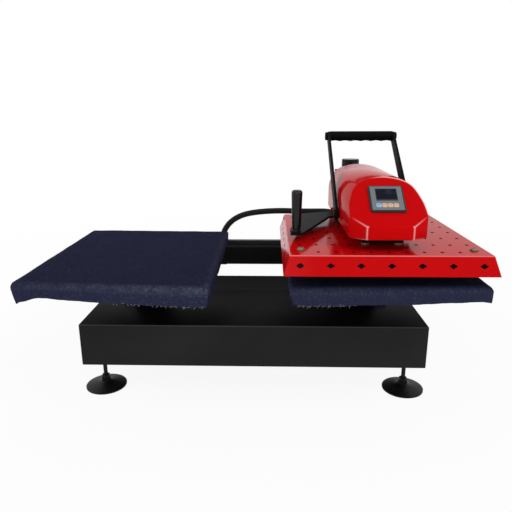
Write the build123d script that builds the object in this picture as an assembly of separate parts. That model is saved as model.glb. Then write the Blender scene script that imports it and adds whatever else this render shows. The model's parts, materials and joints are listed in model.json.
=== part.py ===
"""Dual station heat press: two cloth-covered lower platens and one sliding heating head.

Millimetres, +Z up. The origin is on the floor, in the middle of the machine's footprint.
+X runs from the left station to the right one, and +Y from the front to the back.
At rest the head stands open over the right station, with its press handle leaning back.
"""
from build123d import *
import math
import os

# Stations: two equal lower platens, side by side
PLATEN_WIDTH = 400.0
PLATEN_DEPTH = 500.0
PLATEN_GAP = 164.0
PLATEN_TOP = 331.0
PLATEN_FRONT = -403.0
PAD_COVER_HEIGHT = 30.0
CLOTH = 2.0
CLOTH_EDGE_RADIUS = 7.0
CLOTH_CORNER_RADIUS = 10.0
PLATE_THICKNESS = 8.0
PLATE_INSET = 6.0
SPIDER_THICKNESS = 8.0
SPIDER_WIDTH = 60.0
SPIDER_REACH = 340.0
STAND_BACK_OFFSET = 90.0
STAND_TUBE = 80.0
STAND_WALL = 4.0
STAND_FLANGE = 130.0
STAND_FLANGE_DEPTH = 96.0
STAND_FLANGE_THICKNESS = 6.0

# Base
BASE_HEIGHT = 105.0
BASE_BOTTOM = 81.0
HOUSING_FRONT = -263.0
HOUSING_DEPTH = 248.0
SHEET = 2.0
DECK_DEPTH = 138.0
DECK_DROP = 60.0
MEMBER_WIDTH = 70.0
MEMBER_WALL = 4.0
BEAM_FRONT = 247.0
BEAM_DEPTH = 70.0
BEAM_HEIGHT = 60.0
BEAM_WALL = 5.0
RAIL_WIDTH = 15.0
RAIL_HEIGHT = 12.0
RAIL_MARGIN = 10.0
TOP_RAIL_FROM_BACK = 20.0
REAR_RAIL_DROP = 40.0
JUNCTION_WIDTH = 80.0
JUNCTION_OVERLAP = 45.0
JUNCTION_HEIGHT = 26.0
JUNCTION_REACH = 37.0
JUNCTION_STRAP = 8.0
JUNCTION_STRAP_INSET = 15.0

# Feet
FOOT_INSET_X = 37.0
FOOT_SPAN_Y = 470.0
FOOT_CENTRE_Y = 22.0
FOOT_DISC_DIAMETER = 100.0
FOOT_RIM = 3.0
STUD_DIAMETER = 10.0
STUD_TOP = 118.0
LOCK_NUT_WIDTH = 17.0
LOCK_NUT_HEIGHT = 8.0

# Carriage and column
SADDLE_LENGTH = 220.0
STOP_LENGTH = 20.0
SADDLE_PLATE = 12.0
SADDLE_FRONT = 142.0
BLOCK_LENGTH = 60.0
BLOCK_HEIGHT = 26.0
BLOCK_WIDTH = 34.0
COLUMN_SIDE = 64.0
COLUMN_WALL = 6.0
COLUMN_TOP = 490.0
COLUMN_BACK = 219.0
COLUMN_PLUG = 8.0
GUSSET = 6.0
GUSSET_HEIGHT = 60.0

# Lift of the head arm, set by the knob
LIFT_RANGE = 6.0
SLEEVE_WALL = 8.0
SLEEVE_CAP = 10.0
SCREW_DIAMETER = 12.0
KNOB_DIAMETER = 51.0
KNOB_HEIGHT = 24.0
KNOB_FLUTES = 12

# Head arm: two cheeks carry everything
HEAD_X = PLATEN_GAP / 2 + PLATEN_WIDTH / 2
CHEEK = 12.0
CHEEK_HEIGHT = 60.0
CHEEK_BOTTOM = 417.0
CHEEK_FRONT = -323.0
SHAFT_Y = -183.0
SHAFT_Z = 438.0
SHAFT_DIAMETER = 20.0
BUSH_WALL = 4.0
GUIDE_SPACING = 144.0
GUIDE_BLOCK_DEPTH = 36.0
GUIDE_BLOCK_HEIGHT = 24.0
GUIDE_BLOCK_BOTTOM = 422.0
ROD_DIAMETER = 14.0
ROD_TOP = 505.0
COLLAR_DIAMETER = 24.0
COLLAR_HEIGHT = 7.0
SPRING_WIRE = 2.2
SPRING_DIAMETER = 21.0
SPRING_TURNS = 7.5

# Press handle
HANDLE_ARM = 6.0
HANDLE_ARM_OFFSET = 85.0
HANDLE_REACH = 276.0
HANDLE_LEAN = 38.0
HANDLE_TRAVEL = 110.0
HANDLE_HUB_RADIUS = 16.0
HANDLE_TOP_RADIUS = 12.0
HANDLE_BAR_DIAMETER = 12.0
HANDLE_NUT = 18.0
HANDLE_NUT_HEIGHT = 6.0
GRIP_DIAMETER = 26.0
GRIP_SCALLOPS = 6
GRIP_SCALLOP_DEPTH = 2.0

# Press travel: a spiral cam on the shaft pushes a roller on the crosshead
PRESS_GAP = 21.5
PRESS_REST_GAP = 0.3
CAM_WIDTH = 16.0
CAM_HUB_RADIUS = 19.0
CAM_MARGIN = 12.0
ROLLER_DIAMETER = 22.0
ROLLER_WIDTH = 18.0
ROLLER_PIN_DIAMETER = 8.0
ROLLER_DROP = 33.0

# Heating head
COVER_TOP_WIDTH = 402.0
COVER_TOP_DEPTH = 434.0
COVER_TOP_FRONT = -391.0
COVER_TOP_Z = 394.0
COVER_FLARE = 12.5
COVER_DROP = 40.0
COVER_SHEET = 1.5
HOLE_PITCH_X = 35.5
HOLE_PITCH_Y = 60.0
HOLE_FRONT = -365.0
HOLE_WIDTH = 9.0
HOLE_LENGTH = 13.0
FLANGE_HOLE_PITCH = 60.0
FLANGE_HOLE_WIDTH = 18.0
FLANGE_HOLE_HEIGHT = 11.0
COVER_EDGE = 2.0
HEATER_WIDTH = COVER_TOP_WIDTH - 2.0
HEATER_DEPTH = COVER_TOP_DEPTH - 6.0
HEATER_THICKNESS = 20.0
ELEMENT_WIDTH = 8.0
ELEMENT_LEGS = 8
ELEMENT_END = 30.0
ELEMENT_EDGE = 60.0
ELEMENT_PITCH = (HEATER_WIDTH - 2 * ELEMENT_EDGE) / (ELEMENT_LEGS - 1)
MAT_THICKNESS = 14.0
HANGER_DIAMETER = 10.0
HANGER_SPACING_X = 70.0
HANGER_SPACING_Y = 220.0
CROSSHEAD = 12.0
CROSSHEAD_BOTTOM = 398.0
CROSSHEAD_WIDTH = 88.0
CROSSHEAD_DEPTH = 244.0
COVER_SCREW_X = COVER_TOP_WIDTH / 2 - 25.0
COVER_SCREW_Y = COVER_TOP_DEPTH - 86.0
COVER_SCREW_DIAMETER = 8.0

# Shroud
SHROUD_HALF = 79.0
SHROUD_FRONT = -370.0
SHROUD_DEPTH = 417.0
SHROUD_BOTTOM = 419.0
SHROUD_TOP = 534.0
SHROUD_BREAK = 447.0
SHROUD_LEAN = 1.25
SHROUD_NOSE_HALF = 47.0
SHROUD_NOSE_SIDE = 22.0
SHROUD_WALL = 2.5
SHROUD_EDGE = 1.5
SHROUD_SHOULDER = 54.0
SHROUD_BRACKET_AHEAD = 90.0
SHROUD_BRACKET_BEHIND = 120.0

# Controller
PANEL_SIDE = 72.0
PANEL_RIM = 5.0
PANEL_BODY = 62.0
PANEL_BODY_DEPTH = 30.0
PANEL_UP = 73.0
DISPLAY_WIDTH = 42.0
DISPLAY_HEIGHT = 28.0
DISPLAY_INSET = 11.0
KEY_DIAMETER = 7.6
KEY_PITCH = 11.7
KEY_ROW = 16.5
KEY_SHIFT = -1.0
KEY_TRAVEL = 1.2

# Side grip
SIDE_GRIP_X = 99.0
SIDE_GRIP_Y = -278.0
SIDE_GRIP_DIAMETER = 24.0
SIDE_GRIP_NECK = 19.0
SIDE_GRIP_LENGTH = 86.0
BRACKET_PLATE = 6.0
BRACKET_HALF = 13.0
BRACKET_ROOT = 66.0
BRACKET_REACH_BACK = 262.0
BRACKET_BEND = 192.0
BRACKET_BEND_OUT = 92.0

# Wiring hose
HOSE_DIAMETER = 20.0
HOSE_ROUTE = [
    (-131.0, 382.0, 204.0),
    (-131.0, 382.0, 252.0),
    (-103.0, 382.0, 303.0),
    (-56.0, 382.0, 337.0),
    (5.0, 382.0, 348.0),
    (75.0, 382.0, 352.0),
    (HEAD_X - 137.0, 382.0, 347.0),
    (HEAD_X, 382.0, 341.0),
    (HEAD_X, COLUMN_BACK + 18.0, 341.0),
]

# Clearances
RUNNING = 0.05
SLIDING = 0.3
FREE = 0.5

BASE_TOP = BASE_BOTTOM + BASE_HEIGHT
HOUSING_BACK = HOUSING_FRONT + HOUSING_DEPTH
DECK_BACK = HOUSING_BACK + DECK_DEPTH
BEAM_TOP = BASE_TOP + BEAM_HEIGHT
BEAM_BACK = BEAM_FRONT + BEAM_DEPTH
PLATEN_X = (-HEAD_X, HEAD_X)
BASE_WIDTH = 2 * (HEAD_X + SADDLE_LENGTH / 2 + STOP_LENGTH)
PLATEN_Y = PLATEN_FRONT + PLATEN_DEPTH / 2
PLATE_Z = PLATEN_TOP - PAD_COVER_HEIGHT + CLOTH
PRESS_TRAVEL = PRESS_GAP - PRESS_REST_GAP
HEATER_BOTTOM = PLATEN_TOP + PRESS_GAP
HEATER_TOP = HEATER_BOTTOM + HEATER_THICKNESS
COVER_Y = COVER_TOP_FRONT + COVER_TOP_DEPTH / 2
SADDLE_Z = BEAM_TOP + RAIL_HEIGHT + 18.0
COLUMN_Y = COLUMN_BACK - COLUMN_SIDE / 2
CHEEK_X = COLUMN_SIDE / 2 + SLIDING + SLEEVE_WALL
CAM_GAIN = PRESS_TRAVEL / math.radians(HANDLE_TRAVEL)


def block(x0, x1, y0, y1, z0, z1):
    """A box between two corners."""
    size = Box(x1 - x0, y1 - y0, z1 - z0)
    return Pos((x0 + x1) / 2, (y0 + y1) / 2, (z0 + z1) / 2) * size


def post(x, y, z0, z1, diameter):
    """An upright cylinder."""
    return Pos(x, y, (z0 + z1) / 2) * Cylinder(diameter / 2, z1 - z0)


def cross_rod(x0, x1, y, z, diameter):
    """A cylinder along X."""
    return Pos((x0 + x1) / 2, y, z) * Rot(0, 90, 0) * Cylinder(diameter / 2, x1 - x0)


def hexagon(x, y, z0, z1, across_flats):
    """An upright hexagonal nut or head, with flats to the left and right."""
    side = Rot(0, 0, 30) * RegularPolygon(across_flats / 2, 6, major_radius=False)
    return Pos(x, y, z0) * extrude(side, z1 - z0)


def plate_from(points, z, thickness):
    """A flat plate with a polygon outline, its underside at z."""
    outline = make_face(Polyline(*points, close=True))
    return Pos(0, 0, z) * extrude(outline, thickness)


def side_profile(points, x, thickness):
    """A plate in the YZ plane, given as (y, z) points, from x towards +X."""
    outline = make_face(Polyline(*[(x, y, z) for y, z in points], close=True))
    return extrude(outline, thickness, dir=(1, 0, 0))


def save(name, *solids):
    """One node: a single solid, or several separate ones."""
    shape = solids[0] if len(solids) == 1 else Compound(children=[s for s in solids])
    export_step(shape, os.path.join("parts", name + ".step"))


def corners(half_x, half_y, y_centre, x_centre=0.0):
    """The four corners of a rectangle, front pair first."""
    return [(x_centre + sx * half_x, y_centre + sy * half_y) for sy in (-1, 1) for sx in (-1, 1)]


def foot_places():
    names = ("front_left", "front_right", "rear_left", "rear_right")
    return list(zip(names, corners(BASE_WIDTH / 2 - FOOT_INSET_X, FOOT_SPAN_Y / 2, FOOT_CENTRE_Y)))


# Base

def stud_holes(z0, z1):
    return [post(x, y, z0, z1, STUD_DIAMETER + 2 * RUNNING) for _, (x, y) in foot_places()]


def front_housing():
    half = BASE_WIDTH / 2
    shell = block(-half, half, HOUSING_FRONT, HOUSING_BACK, BASE_BOTTOM, BASE_TOP)
    edges = shell.edges().filter_by(Axis.X).group_by(Axis.Z)[-1]
    shell = fillet(edges, SHEET)
    inside = block(-half + SHEET, half - SHEET, HOUSING_FRONT + SHEET, HOUSING_BACK - SHEET,
                   BASE_BOTTOM - 1, BASE_TOP - SHEET)
    return shell - inside


def housing_bottom_plate():
    half = BASE_WIDTH / 2 - SHEET
    plate = block(-half, half, HOUSING_FRONT + SHEET, HOUSING_BACK - SHEET,
                  BASE_BOTTOM, BASE_BOTTOM + 2 * SHEET)
    for hole in stud_holes(BASE_BOTTOM - 1, STUD_TOP):
        plate -= hole
    return plate


def member_inner():
    return BASE_WIDTH / 2 - MEMBER_WIDTH


def rear_deck():
    half = member_inner()
    top = block(-half, half, HOUSING_BACK, DECK_BACK, BASE_TOP - SHEET, BASE_TOP)
    lip = block(-half, half, DECK_BACK - SHEET, DECK_BACK, BASE_TOP - DECK_DROP, BASE_TOP)
    x, z, half_x, half_z = inlet_opening()
    opening = block(x - half_x, x + half_x, DECK_BACK - 2 * SHEET, DECK_BACK + SHEET, z - half_z, z + half_z)
    return top + lip - opening


def inlet_opening():
    """Centre and half sizes of the inlet's cut-out in the deck's rear lip."""
    return -member_inner() + 60.0, BASE_TOP - DECK_DROP / 2, 14.0, 11.0


def mains_inlet():
    x, z, half_x, half_z = inlet_opening()
    flange = block(x - half_x - 11, x + half_x + 11, DECK_BACK, DECK_BACK + 3, z - half_z - 3, z + half_z + 3)
    body = block(x - half_x + 0.2, x + half_x - 0.2, DECK_BACK - 18, DECK_BACK, z - half_z + 0.2, z + half_z - 0.2)
    recess = block(x - half_x + 2, x + half_x - 2, DECK_BACK - 13, DECK_BACK + 4, z - half_z + 2, z + half_z - 2)
    inlet = flange + body - recess
    for dx, dz in ((-7, -2), (7, -2), (0, 3)):
        inlet += block(x + dx - 1, x + dx + 1, DECK_BACK - 14, DECK_BACK - 3, z + dz - 2, z + dz + 2)
    return inlet


def side_members():
    members = []
    for side in (-1, 1):
        outer, inner = side * BASE_WIDTH / 2, side * member_inner()
        x0, x1 = min(outer, inner), max(outer, inner)
        tube = block(x0, x1, HOUSING_BACK, BEAM_BACK, BASE_BOTTOM, BASE_TOP)
        tube -= block(x0 + MEMBER_WALL, x1 - MEMBER_WALL, HOUSING_BACK + MEMBER_WALL,
                      BEAM_BACK - MEMBER_WALL, BASE_BOTTOM + MEMBER_WALL, BASE_TOP - MEMBER_WALL)
        for hole in stud_holes(BASE_BOTTOM - 1, STUD_TOP + 1):
            tube -= hole
        members.append(tube)
    return members


def rear_beam():
    half = BASE_WIDTH / 2
    tube = block(-half, half, BEAM_FRONT, BEAM_BACK, BASE_TOP, BEAM_TOP)
    tube = fillet(tube.edges().filter_by(Axis.X), BEAM_WALL)
    hollow = block(-half + BEAM_WALL, half - BEAM_WALL, BEAM_FRONT + BEAM_WALL, BEAM_BACK - BEAM_WALL,
                   BASE_TOP + BEAM_WALL, BEAM_TOP - BEAM_WALL)
    return tube - hollow


def top_rail_y():
    return BEAM_BACK - TOP_RAIL_FROM_BACK


def rear_rail_z():
    return BEAM_TOP - REAR_RAIL_DROP


def guide_rails():
    half = BASE_WIDTH / 2 - RAIL_MARGIN
    y, z = top_rail_y(), rear_rail_z()
    waist = 1.5
    top = block(-half, half, y - RAIL_WIDTH / 2, y + RAIL_WIDTH / 2, BEAM_TOP, BEAM_TOP + RAIL_HEIGHT)
    rear = block(-half, half, BEAM_BACK, BEAM_BACK + RAIL_HEIGHT, z - RAIL_WIDTH / 2, z + RAIL_WIDTH / 2)
    middle = RAIL_HEIGHT / 2
    for side in (-1, 1):
        edge_y = y + side * RAIL_WIDTH / 2
        top -= block(-half, half, edge_y - waist, edge_y + waist, BEAM_TOP + middle - waist, BEAM_TOP + middle + waist)
        edge_z = z + side * RAIL_WIDTH / 2
        rear -= block(-half, half, BEAM_BACK + middle - waist, BEAM_BACK + middle + waist, edge_z - waist, edge_z + waist)
    return top, rear


def end_stops():
    """Rubber blocks on the beam that the saddle's top plate meets at either end."""
    stops = []
    for side in (-1, 1):
        x0, x1 = sorted((side * (HEAD_X + SADDLE_LENGTH / 2 + FREE), side * BASE_WIDTH / 2))
        y0, y1 = BEAM_FRONT + BEAM_WALL, top_rail_y() - RAIL_WIDTH / 2 - FREE
        stop = block(x0, x1, y0, y1, BEAM_TOP, SADDLE_Z + SADDLE_PLATE)
        stops.append(fillet(stop.edges().filter_by(Axis.Z), 4))
    return stops


def junction_box():
    """A flat box behind the beam and below the saddle's path, on a strap under the beam."""
    x, y = HOSE_ROUTE[0][0], HOSE_ROUTE[0][1]
    half = JUNCTION_WIDTH / 2
    front, back = y - JUNCTION_REACH, y + JUNCTION_WIDTH / 4
    box = block(x - half, x + half, front, back, BASE_TOP - JUNCTION_HEIGHT, BASE_TOP)
    box = fillet(box.edges().filter_by(Axis.Z), 4)
    half -= JUNCTION_STRAP_INSET
    strap = block(x - half, x + half, BEAM_BACK - JUNCTION_OVERLAP, front + 5, BASE_TOP - JUNCTION_STRAP, BASE_TOP)
    return box + strap


def hose_gland():
    x, y, z = HOSE_ROUTE[0]
    nut = hexagon(x, y, BASE_TOP, z - 8, 30)
    return nut + post(x, y, z - 8, z, HOSE_DIAMETER + 6)


def hose_radii():
    """Each bend is as large as its two runs allow."""
    points = [Vector(*p) for p in HOSE_ROUTE]
    radii = []
    for a, b, c in zip(points, points[1:], points[2:]):
        turn = math.radians((b - a).get_angle(c - b))
        shorter = min((b - a).length, (c - b).length)
        radii.append(0.45 * shorter / math.tan(turn / 2))
    return radii


def wiring_hose():
    radii = hose_radii()
    path = FilletPolyline(*HOSE_ROUTE, radius=radii)
    start = Plane(origin=path @ 0, z_dir=path % 0)
    hose = sweep(start * Circle(HOSE_DIAMETER / 2), path=path)
    ideal = math.pi * HOSE_DIAMETER ** 2 / 4 * path.length
    print("hose bend radii", [round(r) for r in radii])
    print("hose length", round(path.length, 1), "volume ratio", round(hose.volume / ideal, 4))
    return hose


def solid_state_relay():
    z = BASE_BOTTOM + 2 * SHEET
    x, y = -200.0, HOUSING_FRONT + HOUSING_DEPTH / 2
    sink = block(x - 40, x + 40, y - 50, y + 50, z, z + 6)
    for index in range(9):
        fin_x = x - 38 + index * 9.5
        sink += block(fin_x - 1, fin_x + 1, y - 50, y + 50, z + 6, z + 30)
    relay = block(x - 29, x + 29, y - 22, y + 22, z + 30, z + 55)
    return sink + relay


def lock_nuts():
    z0 = BASE_BOTTOM - LOCK_NUT_HEIGHT
    nuts = []
    for _, (x, y) in foot_places():
        nut = hexagon(x, y, z0, BASE_BOTTOM, LOCK_NUT_WIDTH)
        nuts.append(nut - post(x, y, z0 - 1, BASE_BOTTOM + 1, STUD_DIAMETER + 2 * RUNNING))
    return nuts


def levelling_foot(x, y):
    """A low cone with a slim hub, and the threaded stud that stands in it."""
    r = FOOT_DISC_DIAMETER / 2
    top = 20.0
    outline = Polyline((0, 0), (r, 0), (r, FOOT_RIM), (r - 3, FOOT_RIM + 1.5), (21, 10), (11, 14), (11, top),
                       (0, top), close=True)
    disc = revolve(Plane.XZ * make_face(outline), Axis.Z)
    disc -= post(0, 0, 8, top + 1, STUD_DIAMETER)
    stud = post(0, 0, 8, STUD_TOP, STUD_DIAMETER) + hexagon(0, 0, top, top + 10, LOCK_NUT_WIDTH)
    return Pos(x, y, 0) * disc, Pos(x, y, 0) * stud


# Stations

def platen_stands():
    """Both stands sit behind the middle of their platens, over the back of the housing."""
    top = PLATE_Z - SPIDER_THICKNESS
    half = STAND_TUBE / 2
    wide, deep = STAND_FLANGE / 2, STAND_FLANGE_DEPTH / 2
    y = PLATEN_Y + STAND_BACK_OFFSET
    stands = []
    for x in PLATEN_X:
        tube = block(x - half, x + half, y - half, y + half, BASE_TOP, top)
        for z in (BASE_TOP, top - STAND_FLANGE_THICKNESS):
            tube += block(x - wide, x + wide, y - deep, y + deep, z, z + STAND_FLANGE_THICKNESS)
        inner = half - STAND_WALL
        stands.append(tube - block(x - inner, x + inner, y - inner, y + inner, BASE_TOP - 1, top + 1))
    return stands


def platen_spiders():
    """One long bar and two cross bars under each lower plate."""
    z = PLATE_Z - SPIDER_THICKNESS
    reach, half = SPIDER_REACH / 2, SPIDER_WIDTH / 2
    spiders = []
    for x in PLATEN_X:
        frame = block(x - half, x + half, PLATEN_Y - reach, PLATEN_Y + reach, z, PLATE_Z)
        for y in (PLATEN_Y - STAND_BACK_OFFSET, PLATEN_Y + STAND_BACK_OFFSET):
            frame += block(x - reach, x + reach, y - half, y + half, z, PLATE_Z)
        spiders.append(frame)
    return spiders


def lower_plates():
    half_x = PLATEN_WIDTH / 2 - PLATE_INSET
    half_y = PLATEN_DEPTH / 2 - PLATE_INSET
    return [block(x - half_x, x + half_x, PLATEN_Y - half_y, PLATEN_Y + half_y, PLATE_Z, PLATE_Z + PLATE_THICKNESS)
            for x in PLATEN_X]


def foam_pads():
    half_x = PLATEN_WIDTH / 2 - CLOTH - SLIDING
    half_y = PLATEN_DEPTH / 2 - CLOTH - SLIDING
    pads = []
    for x in PLATEN_X:
        pad = block(x - half_x, x + half_x, PLATEN_Y - half_y, PLATEN_Y + half_y,
                    PLATE_Z + PLATE_THICKNESS, PLATEN_TOP - CLOTH - SLIDING)
        pad = fillet(pad.edges().filter_by(Axis.Z), CLOTH_CORNER_RADIUS)
        pads.append(fillet(pad.edges().group_by(Axis.Z)[-1], CLOTH_EDGE_RADIUS))
    return pads


def pad_cover(x):
    """A fitted cloth cover: flat on top, down over the edges, open underneath."""
    z = PLATEN_TOP - PAD_COVER_HEIGHT
    half_x, half_y = PLATEN_WIDTH / 2, PLATEN_DEPTH / 2
    cover = block(x - half_x, x + half_x, PLATEN_Y - half_y, PLATEN_Y + half_y, z, PLATEN_TOP)
    cover = fillet(cover.edges().filter_by(Axis.Z), CLOTH_CORNER_RADIUS)
    cover = fillet(cover.edges().group_by(Axis.Z)[-1], CLOTH_EDGE_RADIUS)
    inside = block(x - half_x + CLOTH, x + half_x - CLOTH, PLATEN_Y - half_y + CLOTH,
                   PLATEN_Y + half_y - CLOTH, z - 1, PLATEN_TOP - CLOTH)
    inside = fillet(inside.edges().filter_by(Axis.Z), CLOTH_CORNER_RADIUS - CLOTH)
    inside = fillet(inside.edges().group_by(Axis.Z)[-1], CLOTH_EDGE_RADIUS - CLOTH)
    return cover - inside


# Carriage

def saddle():
    half = SADDLE_LENGTH / 2
    back = BEAM_BACK + RAIL_HEIGHT + 18.0
    x = HEAD_X
    top = block(x - half, x + half, SADDLE_FRONT, back + SADDLE_PLATE, SADDLE_Z, SADDLE_Z + SADDLE_PLATE)
    rear = block(x - half, x + half, back, back + SADDLE_PLATE, rear_rail_z() - BLOCK_WIDTH / 2, SADDLE_Z)
    return top + rear


def bearing_blocks():
    """Four blocks ride on the rails: two above the beam, two behind it."""
    y, z = top_rail_y(), rear_rail_z()
    reach = SADDLE_LENGTH / 2 - BLOCK_LENGTH / 2 - 8
    slot = RAIL_WIDTH / 2 + SLIDING
    deep = RAIL_HEIGHT + SLIDING
    blocks = []
    for side in (-1, 1):
        x0 = HEAD_X + side * reach - BLOCK_LENGTH / 2
        x1 = x0 + BLOCK_LENGTH
        low = BEAM_TOP + 4
        upper = block(x0, x1, y - BLOCK_WIDTH / 2, y + BLOCK_WIDTH / 2, low, SADDLE_Z)
        upper -= block(x0 - 1, x1 + 1, y - slot, y + slot, low - 1, BEAM_TOP + deep)
        near = BEAM_BACK + 4
        back = BEAM_BACK + RAIL_HEIGHT + 18.0
        rear = block(x0, x1, near, back, z - BLOCK_WIDTH / 2, z + BLOCK_WIDTH / 2)
        rear -= block(x0 - 1, x1 + 1, near - 1, BEAM_BACK + deep, z - slot, z + slot)
        blocks += [upper, rear]
    return blocks


def column():
    z0 = SADDLE_Z + SADDLE_PLATE
    half = COLUMN_SIDE / 2
    inner = half - COLUMN_WALL
    x, y = HEAD_X, COLUMN_Y
    tube = block(x - half, x + half, y - half, y + half, z0, COLUMN_TOP)
    tube -= block(x - inner, x + inner, y - inner, y + inner, z0 - 1, COLUMN_TOP - COLUMN_PLUG)
    back = COLUMN_BACK
    rib = [(back - 1, z0), (back + GUSSET_HEIGHT, z0), (back + GUSSET, z0 + GUSSET_HEIGHT),
           (back - 1, z0 + GUSSET_HEIGHT)]
    for side in (-1, 1):
        tube += side_profile(rib, x + side * (half - GUSSET) - GUSSET / 2, GUSSET)
    _, _, hose_z = HOSE_ROUTE[-1]
    wire_hole = Pos(x, back, hose_z) * Rot(90, 0, 0) * Cylinder(9, 4 * COLUMN_WALL)
    return tube - wire_hole


def column_gland():
    """The gland on the column's back where the hose goes in."""
    x, y, z = HOSE_ROUTE[-1]
    nut = Pos(x, COLUMN_BACK + 5, z) * Rot(90, 0, 0) * extrude(RegularPolygon(15, 6, major_radius=False), 5, both=True)
    collar = Pos(x, (COLUMN_BACK + y) / 2, z) * Rot(90, 0, 0) * Cylinder(HOSE_DIAMETER / 2 + 3, y - COLUMN_BACK)
    return nut + collar


# Head arm

def lift_sleeve():
    """A square sleeve that slides on the column, closed by the cap that the screw turns in."""
    inner = COLUMN_SIDE / 2 + SLIDING
    outer = inner + SLEEVE_WALL
    x, y = HEAD_X, COLUMN_Y
    bottom, top = CHEEK_BOTTOM - 5, COLUMN_TOP + 2
    sleeve = block(x - outer, x + outer, y - outer, y + outer, bottom, top + SLEEVE_CAP)
    sleeve -= block(x - inner, x + inner, y - inner, y + inner, bottom - 1, top)
    return sleeve - post(x, y, top - 1, top + SLEEVE_CAP + 1, SCREW_DIAMETER + 2 * RUNNING)


def arm_cheeks():
    """Two plates beside the column carry the shaft, the guide blocks and the shroud."""
    cheeks = []
    for side in (-1, 1):
        x0, x1 = sorted((HEAD_X + side * CHEEK_X, HEAD_X + side * (CHEEK_X + CHEEK)))
        back = COLUMN_Y + COLUMN_SIDE / 2 + SLIDING + SLEEVE_WALL
        cheek = block(x0, x1, CHEEK_FRONT, back, CHEEK_BOTTOM, CHEEK_BOTTOM + CHEEK_HEIGHT)
        cheek -= cross_rod(x0 - 1, x1 + 1, SHAFT_Y, SHAFT_Z, SHAFT_DIAMETER + 2 * BUSH_WALL)
        cheeks.append(cheek)
    return cheeks


def guide_places():
    return [SHAFT_Y - GUIDE_SPACING / 2, SHAFT_Y + GUIDE_SPACING / 2]


def guide_blocks():
    z0, z1 = GUIDE_BLOCK_BOTTOM, GUIDE_BLOCK_BOTTOM + GUIDE_BLOCK_HEIGHT
    half = GUIDE_BLOCK_DEPTH / 2
    blocks = []
    for y in guide_places():
        piece = block(HEAD_X - CHEEK_X, HEAD_X + CHEEK_X, y - half, y + half, z0, z1)
        blocks.append(piece - post(HEAD_X, y, z0 - 1, z1 + 1, ROD_DIAMETER + 2 * BUSH_WALL))
    return blocks


def bushes():
    """Bronze bushes: two for the handle shaft, two for the guide rods."""
    pieces = []
    for side in (-1, 1):
        x0, x1 = sorted((HEAD_X + side * CHEEK_X, HEAD_X + side * (CHEEK_X + CHEEK)))
        ring = cross_rod(x0, x1, SHAFT_Y, SHAFT_Z, SHAFT_DIAMETER + 2 * BUSH_WALL)
        pieces.append(ring - cross_rod(x0 - 1, x1 + 1, SHAFT_Y, SHAFT_Z, SHAFT_DIAMETER + 2 * RUNNING))
    z0, z1 = GUIDE_BLOCK_BOTTOM, GUIDE_BLOCK_BOTTOM + GUIDE_BLOCK_HEIGHT
    for y in guide_places():
        ring = post(HEAD_X, y, z0, z1, ROD_DIAMETER + 2 * BUSH_WALL)
        pieces.append(ring - post(HEAD_X, y, z0 - 1, z1 + 1, ROD_DIAMETER + 2 * RUNNING))
    return pieces


def return_springs():
    """Each coil stands on a guide block and holds up the collar on its rod."""
    bottom = GUIDE_BLOCK_BOTTOM + GUIDE_BLOCK_HEIGHT + SPRING_WIRE / 2 + SLIDING
    height = ROD_TOP - COLLAR_HEIGHT - SPRING_WIRE / 2 - SLIDING - bottom
    springs = []
    for y in guide_places():
        coil = Helix(height / SPRING_TURNS, height, (SPRING_DIAMETER - SPRING_WIRE) / 2)
        wire = sweep(Plane(origin=coil @ 0, z_dir=coil % 0) * Circle(SPRING_WIRE / 2), path=coil, is_frenet=True)
        springs.append(Pos(HEAD_X, y, bottom) * wire)
    return springs


def shroud_form(inset):
    """The shroud's outer form, or the space inside it when inset is its wall."""
    half = SHROUD_HALF - inset
    low, high = SHROUD_BOTTOM - inset * 4, SHROUD_TOP - inset
    front, back = SHROUD_FRONT + inset, SHROUD_FRONT + SHROUD_DEPTH - inset
    shoulder = SHROUD_BOTTOM + SHROUD_SHOULDER
    outline = [
        Line((-half, low), (half, low)),
        Line((half, low), (half, shoulder)),
        Spline((half, shoulder), (half * 0.93, shoulder + 22), (half * 0.66, high - 11), (0, high),
               (-half * 0.66, high - 11), (-half * 0.93, shoulder + 22), (-half, shoulder),
               tangents=((0, 1), (0, -1))),
        Line((-half, shoulder), (-half, low)),
    ]
    face = make_face(outline)
    form = Pos(HEAD_X, front, 0) * extrude(Plane.XZ * face, -(back - front))
    lean = math.degrees(math.atan(SHROUD_LEAN))
    big = 600.0
    drop = inset / math.cos(math.radians(lean)) - inset
    slope = Pos(HEAD_X, SHROUD_FRONT + inset, SHROUD_BREAK - drop / SHROUD_LEAN) * Rot(-lean, 0, 0) * Pos(
        0, -big / 2, 0) * Box(2 * big, big, 2 * big)
    lower = block(HEAD_X - big, HEAD_X + big, SHROUD_FRONT - big, SHROUD_FRONT + inset, low - 1, high + 1)
    form = form - slope - lower
    nose = SHROUD_NOSE_HALF
    side = SHROUD_NOSE_SIDE
    turn = math.degrees(math.atan2(side, SHROUD_HALF - nose))
    for direction in (-1, 1):
        cut = Pos(HEAD_X + direction * nose, SHROUD_FRONT, 0) * Rot(0, 0, direction * turn) * Pos(
            direction * big / 2, -big / 2 + inset, 0) * Box(2 * big, big, 3 * big)
        form = form - cut
    return form


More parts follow.
